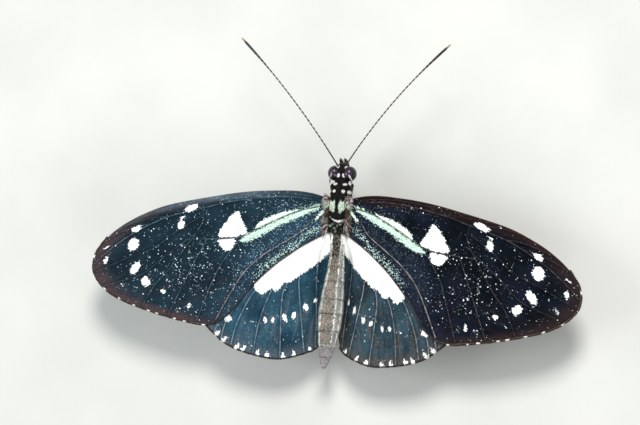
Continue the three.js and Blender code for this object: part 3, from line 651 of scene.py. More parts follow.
class Wing:
    """One wing flat on the page: its points, its triangles, and how far each point is from what.

    sweeps are the degrees that it is turned back by on each side, page the share of the
    unwrap for each millimetre."""

    def __init__(self, kind, runs, vein_points, height, sweeps, page):
        self.kind, self.height, self.sweeps, self.page = kind, height, sweeps, page
        runs = [curve(run, RIM_GRAIN) for run in runs]
        rim = np.concatenate([run[:-1] for run in runs] + [runs[-1][-1:]])
        self.closed = np.r_[rim, rim[:1]]
        veins = [curve(points, RIM_GRAIN) for points in vein_points]
        self.veins = [np.r_[vein[:-1:3], vein[-1:]] for vein in veins]
        rails = []
        for vein in veins:
            along = np.gradient(vein, axis=0)
            across = unit(np.c_[-along[:, 1], along[:, 0]])
            rails += [vein + VEIN_HALF_WIDTH * across, vein - VEIN_HALF_WIDTH * across]
        low, high = rim.min(0), rim.max(0)
        columns = np.arange(low[0], high[0], WING_GRAIN)
        lattice = np.concatenate([
            np.c_[columns + (k % 2) * WING_GRAIN / 2, np.full(len(columns), row)]
            for k, row in enumerate(np.arange(low[1], high[1], WING_GRAIN * 0.87))
        ])
        to_vein = self.to_each_vein(lattice).min(axis=0)
        lattice = lattice[to_vein > VEIN_HALF_WIDTH + 0.6 * WING_GRAIN]
        inner = np.concatenate([*veins, *rails, lattice])
        inner = inner[is_inside(inner, self.closed) & (distance_to_line(inner, self.closed[::2]) > 0.08)]
        _, first = np.unique(np.floor(inner / CROWDING).astype(int), axis=0, return_index=True)
        both = [Vector(p) for p in np.r_[rim, inner[np.sort(first)]]]
        edges = [(i, (i + 1) % len(rim)) for i in range(len(rim))]
        points, _, faces, *_ = geometry.delaunay_2d_cdt(both, edges, [], 1, 1e-7)
        self.points = np.array([tuple(p) for p in points])
        self.triangles = np.array([f for f in faces if len(f) == 3])
        to_each = self.to_each_vein(self.points)
        self.to_vein, self.nearest_vein = to_each.min(axis=0), to_each.argmin(axis=0)
        self.to_rim = distance_to_line(self.points, self.closed[::2])

    def to_each_vein(self, points):
        return np.array([distance_to_line(points, vein) for vein in self.veins])

    def border(self):
        a = self.triangles[:, [0, 1, 2]].ravel()
        b = self.triangles[:, [1, 2, 0]].ravel()
        known = set(zip(a.tolist(), b.tolist()))
        return np.array([(p, q) for p, q in known if (q, p) not in known])

    def placed(self, flat, name):
        """Points of the plan, turned back about the hinge."""
        angle = -math.radians(self.sweeps[name])
        dx, y = flat[:, 0] - HINGE_X, flat[:, 1]
        return (HINGE_X + math.cos(angle) * dx - math.sin(angle) * y,
                math.sin(angle) * dx + math.cos(angle) * y)

    def on_page(self, flat):
        return (flat - self.points.min(0)) * self.page + PAGE_EDGE

    def build(self, name, side, fields, material):
        x, y = self.points.T
        placed_x, placed_y = self.placed(self.points, name)
        crest = np.clip(1 - self.to_vein / VEIN_HALF_WIDTH, 0, 1)
        edge = ramp(self.to_rim, 0.0, RIM_TAPER)
        sag = PLEAT_DEPTH * (1 - bell(self.to_vein, 0.9)) * ramp(self.to_rim, 0, 1.5)
        wave = WAVE_HEIGHT * np.sin(0.9 * x + 0.5 * y) * np.sin(0.35 * x - 0.8 * y + 1.0)
        middle = self.height(placed_x, placed_y) - sag + wave
        half = WING_THICKNESS / 2 * (0.35 + 0.65 * edge) + VEIN_HEIGHT * crest * edge
        points = np.concatenate([np.c_[side * placed_x, placed_y, z] for z in (middle + half, middle - half)])
        count = len(x)
        a, b = self.border().T
        walls = np.r_[np.c_[b, a, a + count], np.c_[b, a + count, b + count]]
        faces = np.r_[self.triangles, self.triangles[:, ::-1] + count, walls]
        values = {key: np.r_[field, field] for key, field in fields.items()}
        values["upper"] = np.r_[np.ones(count), np.zeros(count)]
        page = self.on_page(self.points)
        return make_mesh(f"wing_{self.kind}_{name}", points, [faces if side > 0 else faces[:, ::-1]],
                         material, values, uv=np.r_[page, page + (0, 0.5)])

    def grow_fringe(self, name, side, path, white_at, short_to, material, rng):
        """Two rows of narrow scales along a margin, shorter and darker where x is below short_to."""
        once = curve(path, FRINGE_STEP)
        line = np.r_[once, once]
        n = len(line)
        along = np.tile(np.gradient(once, axis=0), (2, 1)) + rng.normal(0, 0.005, (n, 2))
        outward = unit(np.c_[-along[:, 1], along[:, 0]])
        outward[is_inside(line + 0.15 * outward, self.closed)] *= -1
        x, y = self.placed(line, name)
        tip_x, tip_y = self.placed(line + outward, name)
        z = self.height(x, y) + np.where(np.arange(n) < n // 2, 0.5, -0.5) * FRINGE_ROWS_APART
        ways = np.c_[side * (tip_x - x), tip_y - y, np.zeros(n)]
        roots = np.c_[side * x, y, z] - 0.04 * ways
        gap = np.min([norms(line - spot) for spot in white_at], axis=0)
        white = gap + rng.normal(0, 0.06, n) < FRINGE_WHITE
        short = line[:, 0] < short_to
        dark = np.where(short[:, None], FRINGE_INNER, FRINGE_DARK) * rng.uniform(0.6, 1.3, (n, 1))
        lengths = rng.uniform(0.2, 0.34, n) * np.where(white, 0.7, 1.0) * np.where(short, 0.5, 1.0)
        grow(f"fringe_{self.kind}_{name}", roots, np.tile((0.0, 0.0, 1.0), (n, 1)), ways,
             lengths, rng.uniform(0.07, 0.1, n), rng.uniform(-0.1, 0.1, n),
             np.where(white[:, None], WHITE_HAIR, dark), self.on_page(line), material)


def common_fields(wing, ribs):
    """What both wings' materials read, from how far each point is from veins and rim."""
    zero = np.zeros(len(wing.points))
    fields = dict.fromkeys(("green", "pale", "dusted", "band", "painted_blue_sheen", "rosy"), zero)
    return dict(fields, vein=np.minimum(wing.to_vein, 2), rib=np.array(ribs)[wing.nearest_vein],
                rim=np.minimum(wing.to_rim, 2), red=zero - 1)


def forewing_fields(wing):
    p = wing.points
    x, y = p.T
    rim = wing.to_rim
    fields = common_fields(wing, FOREWING_RIBS)
    dashes = [(dx, dy, 0.42, 0.3, 0) for dx, dy in FOREWING_DASHES]
    white = np.max([
        depth_in_spots(p, FOREWING_SPOTS), depth_in_outline(p, CELL_PATCH), depth_in_outline(p, HALF_MOON),
        np.where(rim < 0.1, depth_in_spots(p, dashes), -1.0),
    ], axis=0)
    pale, green, root = (depth_in_outline(p, mark, 0.1) for mark in (PALE_STRIPE, GREEN_STRIPE, ROOT_STRIPE))
    to_dusted, to_blue_sheen = (distance_to_line(p, curve(line, 0.3)) for line in (DUSTED_LINE, BLUE_SHEEN_LINE))
    to_dark = np.min([distance_to_line(p, np.array(line)) for line in (STRIPE_LINE, ROOT_LINE)], axis=0)
    # painted sheen along its line, fading out between x = 13.5 and 17.5
    painted_blue_sheen = bell(to_blue_sheen, 1.9) * ramp(17.5 - x, 0, 4)
    faint = ramp(depth_in_spots(p, FOREWING_FAINT), -0.35, 0.1)
    disc = bell(x - 22.5, 5.2) * bell(y + 10, 4.6)
    tip = bell(x - 33, 4) * bell(y + 10, 4)
    cell = bell(x - 10, 7) * bell(y - 1.0, 1.1)
    stripe_side = np.maximum(bell(np.minimum(pale, 0), 0.7), bell(np.minimum(green, 0), 0.6))
    outer = ramp(1.5 - rim, 0.0, 1.2) * ramp(x, 14, 24)
    outer = np.maximum(outer, ramp(3.2 - rim, 0.0, 2.8) * ramp(x, 30, 37))
    return dict(
        fields,
        rib=fields["rib"] * ramp(x, 3.6, 5.2),
        rosy=bell(distance_to_line(p, wing.veins[-1]), 0.3),
        white=np.clip(white, -1, 1),
        pale=ramp(np.maximum(pale, root), -0.3, 0.3),
        green=ramp(green, -0.4, 0.55),
        dusted=0.85 * bell(to_dusted, 0.34 + 0.024 * x) * ramp(13.5 - x, 0, 4),
        painted_blue_sheen=painted_blue_sheen,
        dust=0.006 + 0.14 * disc + 0.02 * tip + 0.02 * cell + 0.6 * faint,
        # specks of pale scales by the cell and the stripes, with painted sheen specks along the sheen streak
        specks_and_sheen=0.02 + 0.2 * cell + 0.12 * stripe_side + 0.3 * painted_blue_sheen + 0.06 * disc,
        tint=0.85 * outer,
        streak=0.25 * ramp(-y, 8, 16),
        # painted sheen, stronger towards the inner rear of the forewing
        painted_sheen=0.35 + 0.65 * ramp(14 - x + 0.6 * (-y - 8), -8, 10),
        ribbing=ramp(0.6 - to_dark, 0, 0.3),
    )


def hindwing_fields(wing):
    p = wing.points
    x, y = p.T
    rim = wing.to_rim
    fields = common_fields(wing, HINDWING_RIBS)
    white = np.maximum(depth_in_outline(p, HINDWING_BAR), depth_in_spots(p, HINDWING_SPOTS))
    for wedge in HINDWING_WEDGES:
        at = wing.closed[np.argmin(norms(wing.closed - wedge))]
        inward = unit(p.mean(0) - at)
        away = p - at
        depth = away @ inward
        across = np.abs(away[:, 0] * inward[1] - away[:, 1] * inward[0])
        width = WEDGE_HALF_WIDTH * (1 - np.clip(depth / WEDGE_DEPTH, 0, 1))
        white = np.maximum(white, np.where(depth < WEDGE_DEPTH, width - across, -1.0))
    by_body = (x < 2.2) & (y > -12)
    return dict(
        fields,
        white=np.clip(white, -1, 1),
        red=np.clip(depth_in_spots(p, HINDWING_RED_DOTS), -1, 1),
        dust=0.006 + 0.02 * bell(rim - 5, 1.2),
        specks_and_sheen=np.full(len(p), 0.03),
        tint=0.7 * ramp(2.2 - rim, 0.0, 2.0) * ramp(-y, 11, 17),
        streak=0.6 * ramp(-y, 10, 18),
        # painted sheen over the whole hindwing, half as strong at its margin
        painted_sheen=1 - 0.5 * ramp(2.5 - rim, 0, 2),
        ribbing=np.full(len(p), 0.28),
        rim=np.where(by_body, 1.0, fields["rim"]),
    )


# Tones of each wing. lie is the way its scales point, in degrees from x. The left and right copies differ by
# painted light: the left wings' colours are more bluish and, on the forewing, paler, as a painted sheen; the
# right forewing's are much darker.
FOREWING_COLOURS = {
    "left": dict(
        lie=208, shine=0.1, under=rgb(34, 26, 24), ground=rgb(17, 32, 40), painted_sheen=rgb(38, 65, 80),
        specks_and_sheen=rgb(150, 184, 194), brown=rgb(78, 60, 58), edge=rgb(84, 68, 62), rib_colour=rgb(92, 116, 132),
        rosy=rgb(136, 122, 124), painted_blue_sheen=rgb(42, 66, 86), band=rgb(108, 128, 142)),
    "right": dict(
        lie=-28, shine=0.05, under=rgb(34, 26, 24), ground=rgb(7, 11, 14), painted_sheen=rgb(32, 38, 58),
        specks_and_sheen=rgb(96, 104, 108), brown=rgb(50, 37, 35), edge=rgb(112, 90, 76), rib_colour=rgb(88, 82, 84),
        rosy=rgb(138, 130, 128), painted_blue_sheen=rgb(26, 36, 50), band=rgb(42, 24, 19)),
}
HINDWING_COLOURS = {
    "left": dict(
        lie=260, shine=0.1, under=rgb(36, 28, 26), ground=rgb(26, 52, 66), painted_sheen=rgb(46, 84, 102),
        specks_and_sheen=rgb(120, 150, 166), brown=rgb(92, 100, 110), edge=rgb(60, 66, 74),
        rib_colour=rgb(120, 148, 164)),
    "right": dict(
        lie=-80, shine=0.07, under=rgb(36, 28, 26), ground=rgb(32, 47, 54), painted_sheen=rgb(52, 77, 90),
        specks_and_sheen=rgb(120, 136, 144), brown=rgb(88, 82, 78), edge=rgb(70, 66, 64), rib_colour=rgb(146, 146, 146)),
}
BAND_PLACES = [0, 5, 9, 14, 22, 30, 36, 40]      # along x; the front band's rear edge and strength there. On the right forewing the band is its red-brown; on the left it is a painted bluish-grey sheen along the front edge.
BAND_EDGE = [2.0, 1.5, 1.25, 0.9, -0.5, -2.6, -6.0, -8.0]
BAND_AND_SHEEN_RISE = {"left": 0.55, "right": 0.0}
BAND_AND_SHEEN_STRENGTH = {
    "left": [0.1, 0.1, 0.25, 0.85, 0.9, 0.5, 0.2, 0.2],
    "right": [1, 1, 1, 0.85, 0.75, 0.65, 0.6, 0.6],
}


def front_band_and_sheen(wing, name):
    x, y = wing.points.T
    edge = np.interp(x, BAND_PLACES, BAND_EDGE) + BAND_AND_SHEEN_RISE[name]
    return ramp(y - edge, -0.25, 0.35) * np.interp(x, BAND_PLACES, BAND_AND_SHEEN_STRENGTH[name])


forewing = Wing("fore", [FOREWING_FRONT, FOREWING_INNER], FOREWING_VEINS, forewing_height,
                FOREWING_SWEEP, FOREWING_PAGE)
hindwing = Wing("hind", [HINDWING_OUTER, HINDWING_INNER], HINDWING_VEINS, hindwing_height,
                HINDWING_SWEEP, HINDWING_PAGE)
forewing_marks, hindwing_marks = forewing_fields(forewing), hindwing_fields(hindwing)
fringe_rng = np.random.default_rng(SEED + 4)
fringe_surface = hair_material("fringe_scales")
for name, side in SIDES:
    # each side has its own copy of the wing scales, with its own painted sheen
    material = wing_material(f"forewing_scales_and_side_sheen_{name}", **FOREWING_COLOURS[name])
    marks = dict(forewing_marks, band=front_band_and_sheen(forewing, name))
    piece = forewing.build(name, side, marks, material)
    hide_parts(f"forewing_{name}")
    forewing.grow_fringe(name, side, FOREWING_FRONT[9:] + FOREWING_INNER[1:], FOREWING_DASHES,
                         FRINGE_SHORT_TO, fringe_surface, fringe_rng)
    material = wing_material(f"hindwing_scales_and_side_sheen_{name}", **HINDWING_COLOURS[name])
    piece = hindwing.build(name, side, hindwing_marks, material)
    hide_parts(f"hindwing_{name}")
    hindwing.grow_fringe(name, side, HINDWING_OUTER[6:], HINDWING_WEDGES, 0.0, fringe_surface, fringe_rng)


# Body: one skin, worked out as a depth below the surface at each point in space

SKIN_GRAIN = 0.085
SKIN_REACH = ((-2.35, -24.7, 5.2), (2.35, 9.2, 10.0))    # lowest and highest corner of its space
HEAD_ROWS = [                    # y, z, half width, half height, sideways shift
    (8.1, 7.5, 0.2, 0.25, 0), (7.85, 7.55, 0.62, 0.7, 0), (7.4, 7.6, 0.92, 0.98, 0),
    (6.9, 7.65, 1.1, 1.16, 0), (6.0, 7.65, 1.2, 1.22, 0), (5.2, 7.65, 1.1, 1.08, 0),
    (4.7, 7.7, 0.85, 0.85, 0), (4.4, 7.7, 0.5, 0.6, 0),
]
COLLAR_ROWS = [
    (4.9, 7.7, 0.6, 0.7, 0), (4.6, 7.7, 1.2, 1.1, 0), (4.0, 7.7, 1.55, 1.38, 0), (3.4, 7.65, 1.7, 1.5, 0),
    (2.8, 7.6, 1.5, 1.5, 0), (2.5, 7.6, 1.2, 1.2, 0),
]
THORAX_ROWS = [
    (3.6, 7.6, 0.8, 0.9, 0), (3.1, 7.6, 1.4, 1.45, 0), (2.1, 7.55, 1.72, 1.82, 0),
    (0.6, 7.5, 1.86, 1.96, 0), (-0.9, 7.5, 1.8, 1.88, 0), (-2.2, 7.6, 1.55, 1.6, 0),
    (-3.1, 7.75, 1.18, 1.23, 0), (-3.6, 7.8, 0.8, 0.85, 0),
]
ABDOMEN_ROWS = [
    (-2.8, 7.7, 0.8, 0.8, 0.05), (-4.2, 7.7, 1.06, 1.06, 0.2), (-6.3, 7.9, 1.1, 1.18, 0.38),
    (-8.6, 8.0, 1.26, 1.32, 0.46), (-10.7, 8.05, 1.5, 1.42, 0.4), (-13.2, 8.1, 1.74, 1.5, 0.34),
    (-15.9, 8.0, 1.88, 1.5, 0.25), (-18.6, 7.9, 1.66, 1.4, 0.18), (-20.6, 7.75, 1.34, 1.18, 0.08),
    (-21.8, 7.65, 1.08, 0.98, 0.0), (-23.4, 7.55, 0.64, 0.62, -0.14), (-24.0, 7.5, 0.42, 0.42, -0.2),
    (-24.3, 7.5, 0.12, 0.12, -0.2),
]
SEGMENT_LINES = [-3.4, -5.1, -6.7, -8.6, -10.9, -13.7, -16.0, -18.7, -20.9, -22.7, -26.0]
PALP_PATH = [(0.36, 7.3, 6.7), (0.38, 8.1, 7.0), (0.38, 8.42, 7.7), (0.36, 8.6, 8.3)]
PALP_RADII = [0.28, 0.3, 0.24, 0.1]
EYE_RIM_PATH = [(1.4, 6.0, 9.0), (1.62, 5.6, 8.75), (1.76, 5.15, 8.35), (1.84, 4.75, 8.0)]
EYE_RIM_RADII = [0.08, 0.12, 0.1, 0.05]
BODY_LUMPS = [                   # centre, radii, how softly it joins; both sides where x is not 0
    ((0.72, 4.15, 8.3), (0.82, 0.62, 0.78), 0.15),      # lobes of the collar
    ((0.6, 1.25, 8.75), (0.78, 1.5, 0.72), 0.15),       # back of the middle thorax
    ((1.55, 0.5, 8.35), (0.42, 1.7, 0.75), 0.25),       # above the wing roots
    ((0, -0.75, 9.02), (1.05, 0.62, 0.42), 0.06),       # shield behind it
    ((0, -2.0, 8.75), (1.15, 0.85, 0.5), 0.12),         # rear thorax
    ((0, 6.8, 8.45), (0.5, 0.75, 0.4), 0.15),           # crown between the eyes
    ((0.6, 7.3, 8.3), (0.36, 0.28, 0.34), 0.1),         # antenna sockets
]
EYE_CENTRE = np.array([1.2, 6.4, 7.75])
EYE_RADII = np.array([1.1, 1.2, 1.36])
UNWRAP_HEIGHT = 7.7              # of the line the skin is rolled out around
UNWRAP_WIDTH = 0.4

ABDOMEN_BROWN = rgb(134, 127, 117)
ABDOMEN_OLIVE = rgb(96, 88, 64)
ABDOMEN_TEAL = rgb(108, 128, 118)
ABDOMEN_ROSE = rgb(150, 134, 128)
ABDOMEN_GREY = rgb(160, 161, 158)
ABDOMEN_TIP = rgb(152, 148, 152)
ABDOMEN_PALE = rgb(244, 243, 238)
ABDOMEN_FLECKS = np.array([rgb(222, 221, 216), rgb(74, 68, 56), rgb(122, 142, 128), rgb(178, 150, 148)])
FLECK_SHARES = (0.56, 0.12, 0.12, 0.1, 0.1)      # of plain blades, then of each fleck colour
NOISE_SIZE = 32
NOISE_TABLE = np.random.default_rng(SEED + 5).uniform(-1, 1, (NOISE_SIZE,) * 3)
HEAD_SHIFT = 0.1                 # of the head's spots, to the right
ARC_SHIFT = 0.35                 # of the white arc on the shield, to the right
EDGE_WOBBLE = 0.05               # of the edges of marks along the body
BODY_SPOTS = [                   # centre and half sizes, both sides; colour; how rough its edge is
    ((0.68, 7.3, 8.6), (0.32, 0.26, 0.6), WHITE_HAIR, 0.1),
    ((0.48, 5.95, 8.9), (0.33, 0.33, 0.7), WHITE_HAIR, 0.1),
    ((0.78, 4.56, 8.9), (0.36, 0.31, 0.5), WHITE_HAIR, 0.1),
    ((0.74, 3.38, 9.1), (0.28, 0.25, 0.6), WHITE_HAIR, 0.1),
    ((1.75, 3.35, 8.3), (0.48, 0.33, 0.9), WHITE_HAIR, 0.1),
    ((0.6, 0.85, 9.5), (0.4, 1.08, 0.8), MINT_HAIR, 0.22),
    ((0.98, 0.95, 9.3), (0.26, 0.78, 0.8), MINT_HAIR, 0.22),
    ((1.72, 1.0, 8.5), (0.3, 0.55, 0.7), MINT_HAIR, 0.22),
    ((1.5, 2.7, 8.9), (0.3, 0.25, 0.6), PINK_HAIR, 0.1),
]

HEAD_TABLE, COLLAR_TABLE, THORAX_TABLE, ABDOMEN_TABLE = (
    np.array(sorted(curve(rows, 0.05).tolist()))
    for rows in (HEAD_ROWS, COLLAR_ROWS, THORAX_ROWS, ABDOMEN_ROWS))


def mirrored(p):
    """The same points, those on the left moved to the right."""
    return np.c_[np.abs(p[:, 0]), p[:, 1:]]


def row_at(table, y):
    """Height of the middle, half width, half height and shift to the right there."""
    return [np.interp(y, table[:, 0], table[:, k]) for k in (1, 2, 3, 4)]


def depth_in_loft(p, table):
    y = np.clip(p[:, 1], table[0, 0], table[-1, 0])
    middle, half_width, half_height, shift = row_at(table, y)
    x, z = p[:, 0] - shift, p[:, 2] - middle
    reach = np.hypot(x / half_width, z / half_height) + 1e-9
    side = (reach - 1) * np.hypot(x, z) / reach
    side = np.where(reach < 0.2, -0.8 * np.minimum(half_width, half_height), side)
    past = np.abs(p[:, 1] - y)
    return np.where(past > 0, np.hypot(np.maximum(side, 0), past), side)


def depth_in_lump(p, centre, radii):
    scaled = (p - centre) / radii
    reach = norms(scaled) + 1e-9
    return (reach - 1) * reach / (norms(scaled / radii) + 1e-9)


def depth_in_rod(p, path, radii):
    best = np.full(len(p), 9.0)
    for a, b, start, end in zip(np.array(path[:-1]), np.array(path[1:]), radii[:-1], radii[1:]):
        t = np.clip(((p - a) @ (b - a)) / ((b - a) @ (b - a)), 0, 1)
        best = np.minimum(best, norms(p - a - t[:, None] * (b - a)) - (start + (end - start) * t))
    return best


def join(a, b, softness):
    """The smaller of two depths, with a soft change from one to the other."""
    share = np.clip(0.5 + 0.5 * (b - a) / softness, 0, 1)
    return b * (1 - share) + a * share - softness * share * (1 - share)


def segment_place(y):
    """0 at the front of each ring of the abdomen, 1 at its rear edge."""
    lines = np.array(SEGMENT_LINES)[::-1]
    k = np.clip(np.searchsorted(lines, y), 1, len(lines) - 1)
    return np.clip((lines[k] - y) / (lines[k] - lines[k - 1]), 0, 1)


def body_depth(p):
    """Distance outside the skin, negative inside it."""
    x, y, z = p.T
    place = segment_place(y)
    step = 0.07 * place ** 1.5 - 0.09 * bell(1 - place, 0.05) - 0.05 * bell(place, 0.05)
    belly = ramp(7.4 - z, 0, 0.8)
    abdomen = depth_in_loft(p, ABDOMEN_TABLE) - step * (1 - 0.5 * belly) + 0.08 * bell(z - 7.35, 0.16)
    middle_seam = 0.05 * bell(x, 0.1) * ramp(y, -0.3, 0.2)
    side_seam = 0.08 * bell(z - 6.9 - 0.25 * np.sin(1.5 * y), 0.12)
    thorax = depth_in_loft(p, THORAX_TABLE) + middle_seam + side_seam
    head, collar = depth_in_loft(p, HEAD_TABLE), depth_in_loft(p, COLLAR_TABLE)
    depth = join(join(head, collar, 0.12), join(thorax, abdomen, 0.1), 0.12)
    right = mirrored(p)
    for centre, radii, softness in BODY_LUMPS:
        depth = join(depth, depth_in_lump(right, np.array(centre), np.array(radii)), softness)
    depth = depth + 0.07 * bell(x, 0.09) * ramp(y, -0.35, 0.0) * ramp(z, 8.4, 9)
    depth = join(depth, depth_in_rod(right, PALP_PATH, PALP_RADII), 0.08)
    return join(depth, depth_in_rod(right, EYE_RIM_PATH, EYE_RIM_RADII), 0.05)


def skin_slope(p, reach=0.02):
    """The way out of the skin."""
    slope = np.stack([body_depth(p + s) - body_depth(p - s) for s in np.eye(3) * reach], axis=1) / (2 * reach)
    return slope / (norms(slope)[:, None] + 1e-9)


def find_skin():
    """Points and quads of the closed surface where the body's depth is 0."""
    axes = [np.arange(a, b + SKIN_GRAIN, SKIN_GRAIN) for a, b in zip(*SKIN_REACH)]
    shape = tuple(len(a) for a in axes)
    grid = np.stack(np.meshgrid(*axes, indexing="ij"), axis=-1).reshape(-1, 3)
    inside = (body_depth(grid) < 0).reshape(shape)
    corners = np.zeros(tuple(n - 1 for n in shape), np.int8)
    for i, j, k in np.ndindex(2, 2, 2):
        corners += inside[i:shape[0] - 1 + i, j:shape[1] - 1 + j, k:shape[2] - 1 + k]
    active = (corners > 0) & (corners < 8)
    number = np.full(active.shape, -1)
    number[active] = np.arange(active.sum())
    points = (np.argwhere(active) + 0.5) * SKIN_GRAIN + np.array([a[0] for a in axes])
    for _ in range(4):
        move = np.clip(body_depth(points), -0.4 * SKIN_GRAIN, 0.4 * SKIN_GRAIN)
        points = points - skin_slope(points) * move[:, None]
    quads = []
    for axis in range(3):
        ahead = np.take(inside, range(1, shape[axis]), axis)
        here = np.take(inside, range(shape[axis] - 1), axis)
        others = [a for a in range(3) if a != axis]
        for crossing, outward in ((here & ~ahead, True), (ahead & ~here, False)):
            ring = []
            for move in ((-1, -1), (0, -1), (0, 0), (-1, 0)):
                cell = np.argwhere(crossing)
                cell[:, others] += move
                ring.append(number[tuple(cell.T)])
            ring = np.stack(ring, axis=1)
            quads.append(ring if outward != (axis == 1) else ring[:, ::-1])
    return points, np.concatenate(quads)


def lattice_noise(q):
    low = np.floor(q).astype(int)
    f = q - low
    f = f * f * (3 - 2 * f)
    value = 0
    for corner in np.ndindex(2, 2, 2):
        weight = np.prod(np.where(corner, f, 1 - f), axis=1)
        value = value + weight * NOISE_TABLE[tuple(((low + corner) % NOISE_SIZE).T)]
    return value


def body_wobble(p):
    """A rough value from -1 to 1 that changes over about a third of a millimetre."""
    return 1.1 * lattice_noise(p / 0.36) + 0.5 * lattice_noise(p / 0.15)


def laid(under, over, share):
    """Colours, with a share of another laid over each."""
    return under + (over - under) * share[:, None]


def front_colour(p, wobble):
    """Colour of the head and thorax: black, with white and mint spots and brown flanks."""
    x = np.abs(p[:, 0] - HEAD_SHIFT * ramp(p[:, 1], 3.8, 4.4))
    y, z = p[:, 1] + EDGE_WOBBLE * wobble, p[:, 2]
    flank = ramp(x - 0.25 * wobble, 1.25, 1.7) * ramp(-y, -2.6, -1.4) * ramp(y, -3.6, -2.6)
    colour = laid(np.tile(BLACK_HAIR, (len(p), 1)), BROWN_HAIR, flank * 0.85)
    colour = laid(colour, GREY_HAIR, flank * ramp(wobble, 0.1, 0.6) * 0.7)
    colour = laid(colour, GREY_HAIR, ramp(7.0 - z, 0, 0.9) * ramp(-y, -5, -3))
    rear = ramp(-y, 1.6, 1.9) * ramp(y, -3.3, -2.9) * ramp(1.4 - x, 0, 0.3)
    colour = laid(colour, MINT_HAIR, rear * 0.4 * ramp(wobble, 0.0, 0.5))
    for centre, half, tone, rough in BODY_SPOTS:
        reach = norms((np.c_[x, p[:, 1:]] - centre) / half) + rough * wobble
        colour = laid(colour, tone, ramp(1.05 - reach, 0, 0.15))
    beside = np.abs(p[:, 0] - ARC_SHIFT)
    arc = np.abs(y - (-1.42 + 0.45 * (beside / 1.1) ** 2))
    thick = 0.02 + 0.15 * np.clip(1 - (beside / 1.2) ** 2, 0, 1)
    return laid(colour, WHITE_HAIR, ramp(thick - arc, -0.02, 0.03) * ramp(z, 8.4, 8.8))


def abdomen_colour(p, wobble):
    """Colour of the abdomen: a brown band along its top, white lines and grey sides, by degrees."""
    y = p[:, 1] + EDGE_WOBBLE * wobble
    middle, half_width, half_height, shift = row_at(ABDOMEN_TABLE, y)
    turn = np.degrees(np.arctan2((p[:, 0] - shift) / half_width, (p[:, 2] - middle) / half_height))
    turn = np.abs(turn + np.interp(-y, [3.5, 7, 12], [-9, 0, 7])) + 3 * wobble
    band = np.interp(-y, [3.2, 6, 10, 16, 20], [38, 34, 33, 36, 40])
    top = laid(ABDOMEN_OLIVE, ABDOMEN_BROWN, ramp(-y, 6.5, 11.5))
    clouds = lattice_noise(p / 0.9)
    top = laid(top, ABDOMEN_TEAL, 0.6 * ramp(clouds, 0.05, 0.5))
    top = laid(top, ABDOMEN_ROSE, 0.6 * ramp(-clouds, 0.05, 0.5))
    tone = np.where((turn < band)[:, None], top, ABDOMEN_GREY)
    gaps = 1 - 0.8 * ramp(lattice_noise(p / 0.55), 0.15, 0.4)
    line = gaps * bell(turn - band - 3, 5) + 0.9 * bell(turn - 76, 6)
    line = np.maximum(line, 0.7 * bell(turn - 128, 9))
    tone = laid(tone, ABDOMEN_PALE, np.clip(line, 0, 1))
    tone = laid(tone, WHITE_HAIR, 0.95 * ramp(y, -6.2, -4.6) * ramp(turn, 36, 42))
    tone = laid(tone, BLACK_HAIR, 0.85 * ramp(y, -8.5, -5) * ramp(36 - turn, 0, 6))
    tone = laid(tone, ABDOMEN_TIP, ramp(-y, 20.9, 21.2))
    tone = tone * (1 + 0.3 * wobble * ramp(-y, 5, 6))[:, None]
    tone = tone * (1 - 0.55 * bell(1 - segment_place(y), 0.09))[:, None]
    return laid(tone, ABDOMEN_PALE, 0.6 * bell(y + 20.8, 0.1))


def body_colour(p):
    """Linear colour of the skin and of the hair that grows from it."""
    wobble = body_wobble(p)
    y, z = p[:, 1] + EDGE_WOBBLE * wobble, p[:, 2]
    colour = laid(front_colour(p, wobble), abdomen_colour(p, wobble), ramp(-y, 3.15, 3.4))
    rim = depth_in_rod(mirrored(p), EYE_RIM_PATH, EYE_RIM_RADII)
    colour = laid(colour, WHITE_HAIR, ramp(0.05 - rim, 0, 0.05))
    palp = laid(GREY_HAIR, BROWN_HAIR, ramp(z, 7.6, 8.1))
    return laid(colour, palp, ramp(y, 7.75, 7.95) * ramp(z, 6.0, 6.6))


def body_uv(p):
    """The skin rolled out along its length, joined underneath."""
    around = np.arctan2(p[:, 0], p[:, 2] - UNWRAP_HEIGHT) / (2 * math.pi) + 0.5
    return np.c_[0.05 + UNWRAP_WIDTH * around, 0.02 + 0.96 * (p[:, 1] + 24.6) / 33.6]


def skin_material():
    s = Surface("body_skin_scales", Roughness=0.6, Specular_IOR_Level=0.2)
    grain = s.cells(0.08, s.stretched(2.0, 90))[1]
    s.bump(grain * 0.6 + s.noise(0.1), 0.035, 0.7)
    return s.finish(s.mix(s.ramp(grain, 0.0, 1.0, 0.0, 0.5), s.tone(), SKIN_SHADE))


skin_points, skin_quads = find_skin()
skin = make_mesh("body_skin", skin_points, [skin_quads], skin_material(), tone=body_colour(skin_points),
                 uv=body_uv(skin_points), uv_turn=UNWRAP_WIDTH)
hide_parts("head", "collar", "thorax", "abdomen", "palp_left", "palp_right")


# Hair and scales on the body

NECK_Y, WAIST_Y = 4.75, -3.3
HAIR_LENGTHS = (0.3, 0.18, 0.75, 0.25, 0.2)      # on palps, head, flanks, thorax and abdomen
HAIR_WIDTHS = (0.05, 0.07, 0.055, 0.075, 0.11)
HAIR_LIFTS = (0.35, 0.4, 0.32, 0.25, 0.1)
FLANK_HAIRS = 900
TEGULA_HAIRS = 520
FLANK_SHARES = (0.3, 0.2, 0.16, 0.12, 0.22)      # of brown, grey, pink, white and black
TEGULA_SHARES = (0.44, 0.08, 0.18, 0.22, 0.08)   # of black, grey, pink, white and brown


def hair_density(p):
    """Hairs per square millimetre on palps, head, thorax and abdomen."""
    y = p[:, 1]
    return np.select([y > 7.7, y > 4.9, y > WAIST_Y], [60.0, 120.0, 110.0], 70.0)


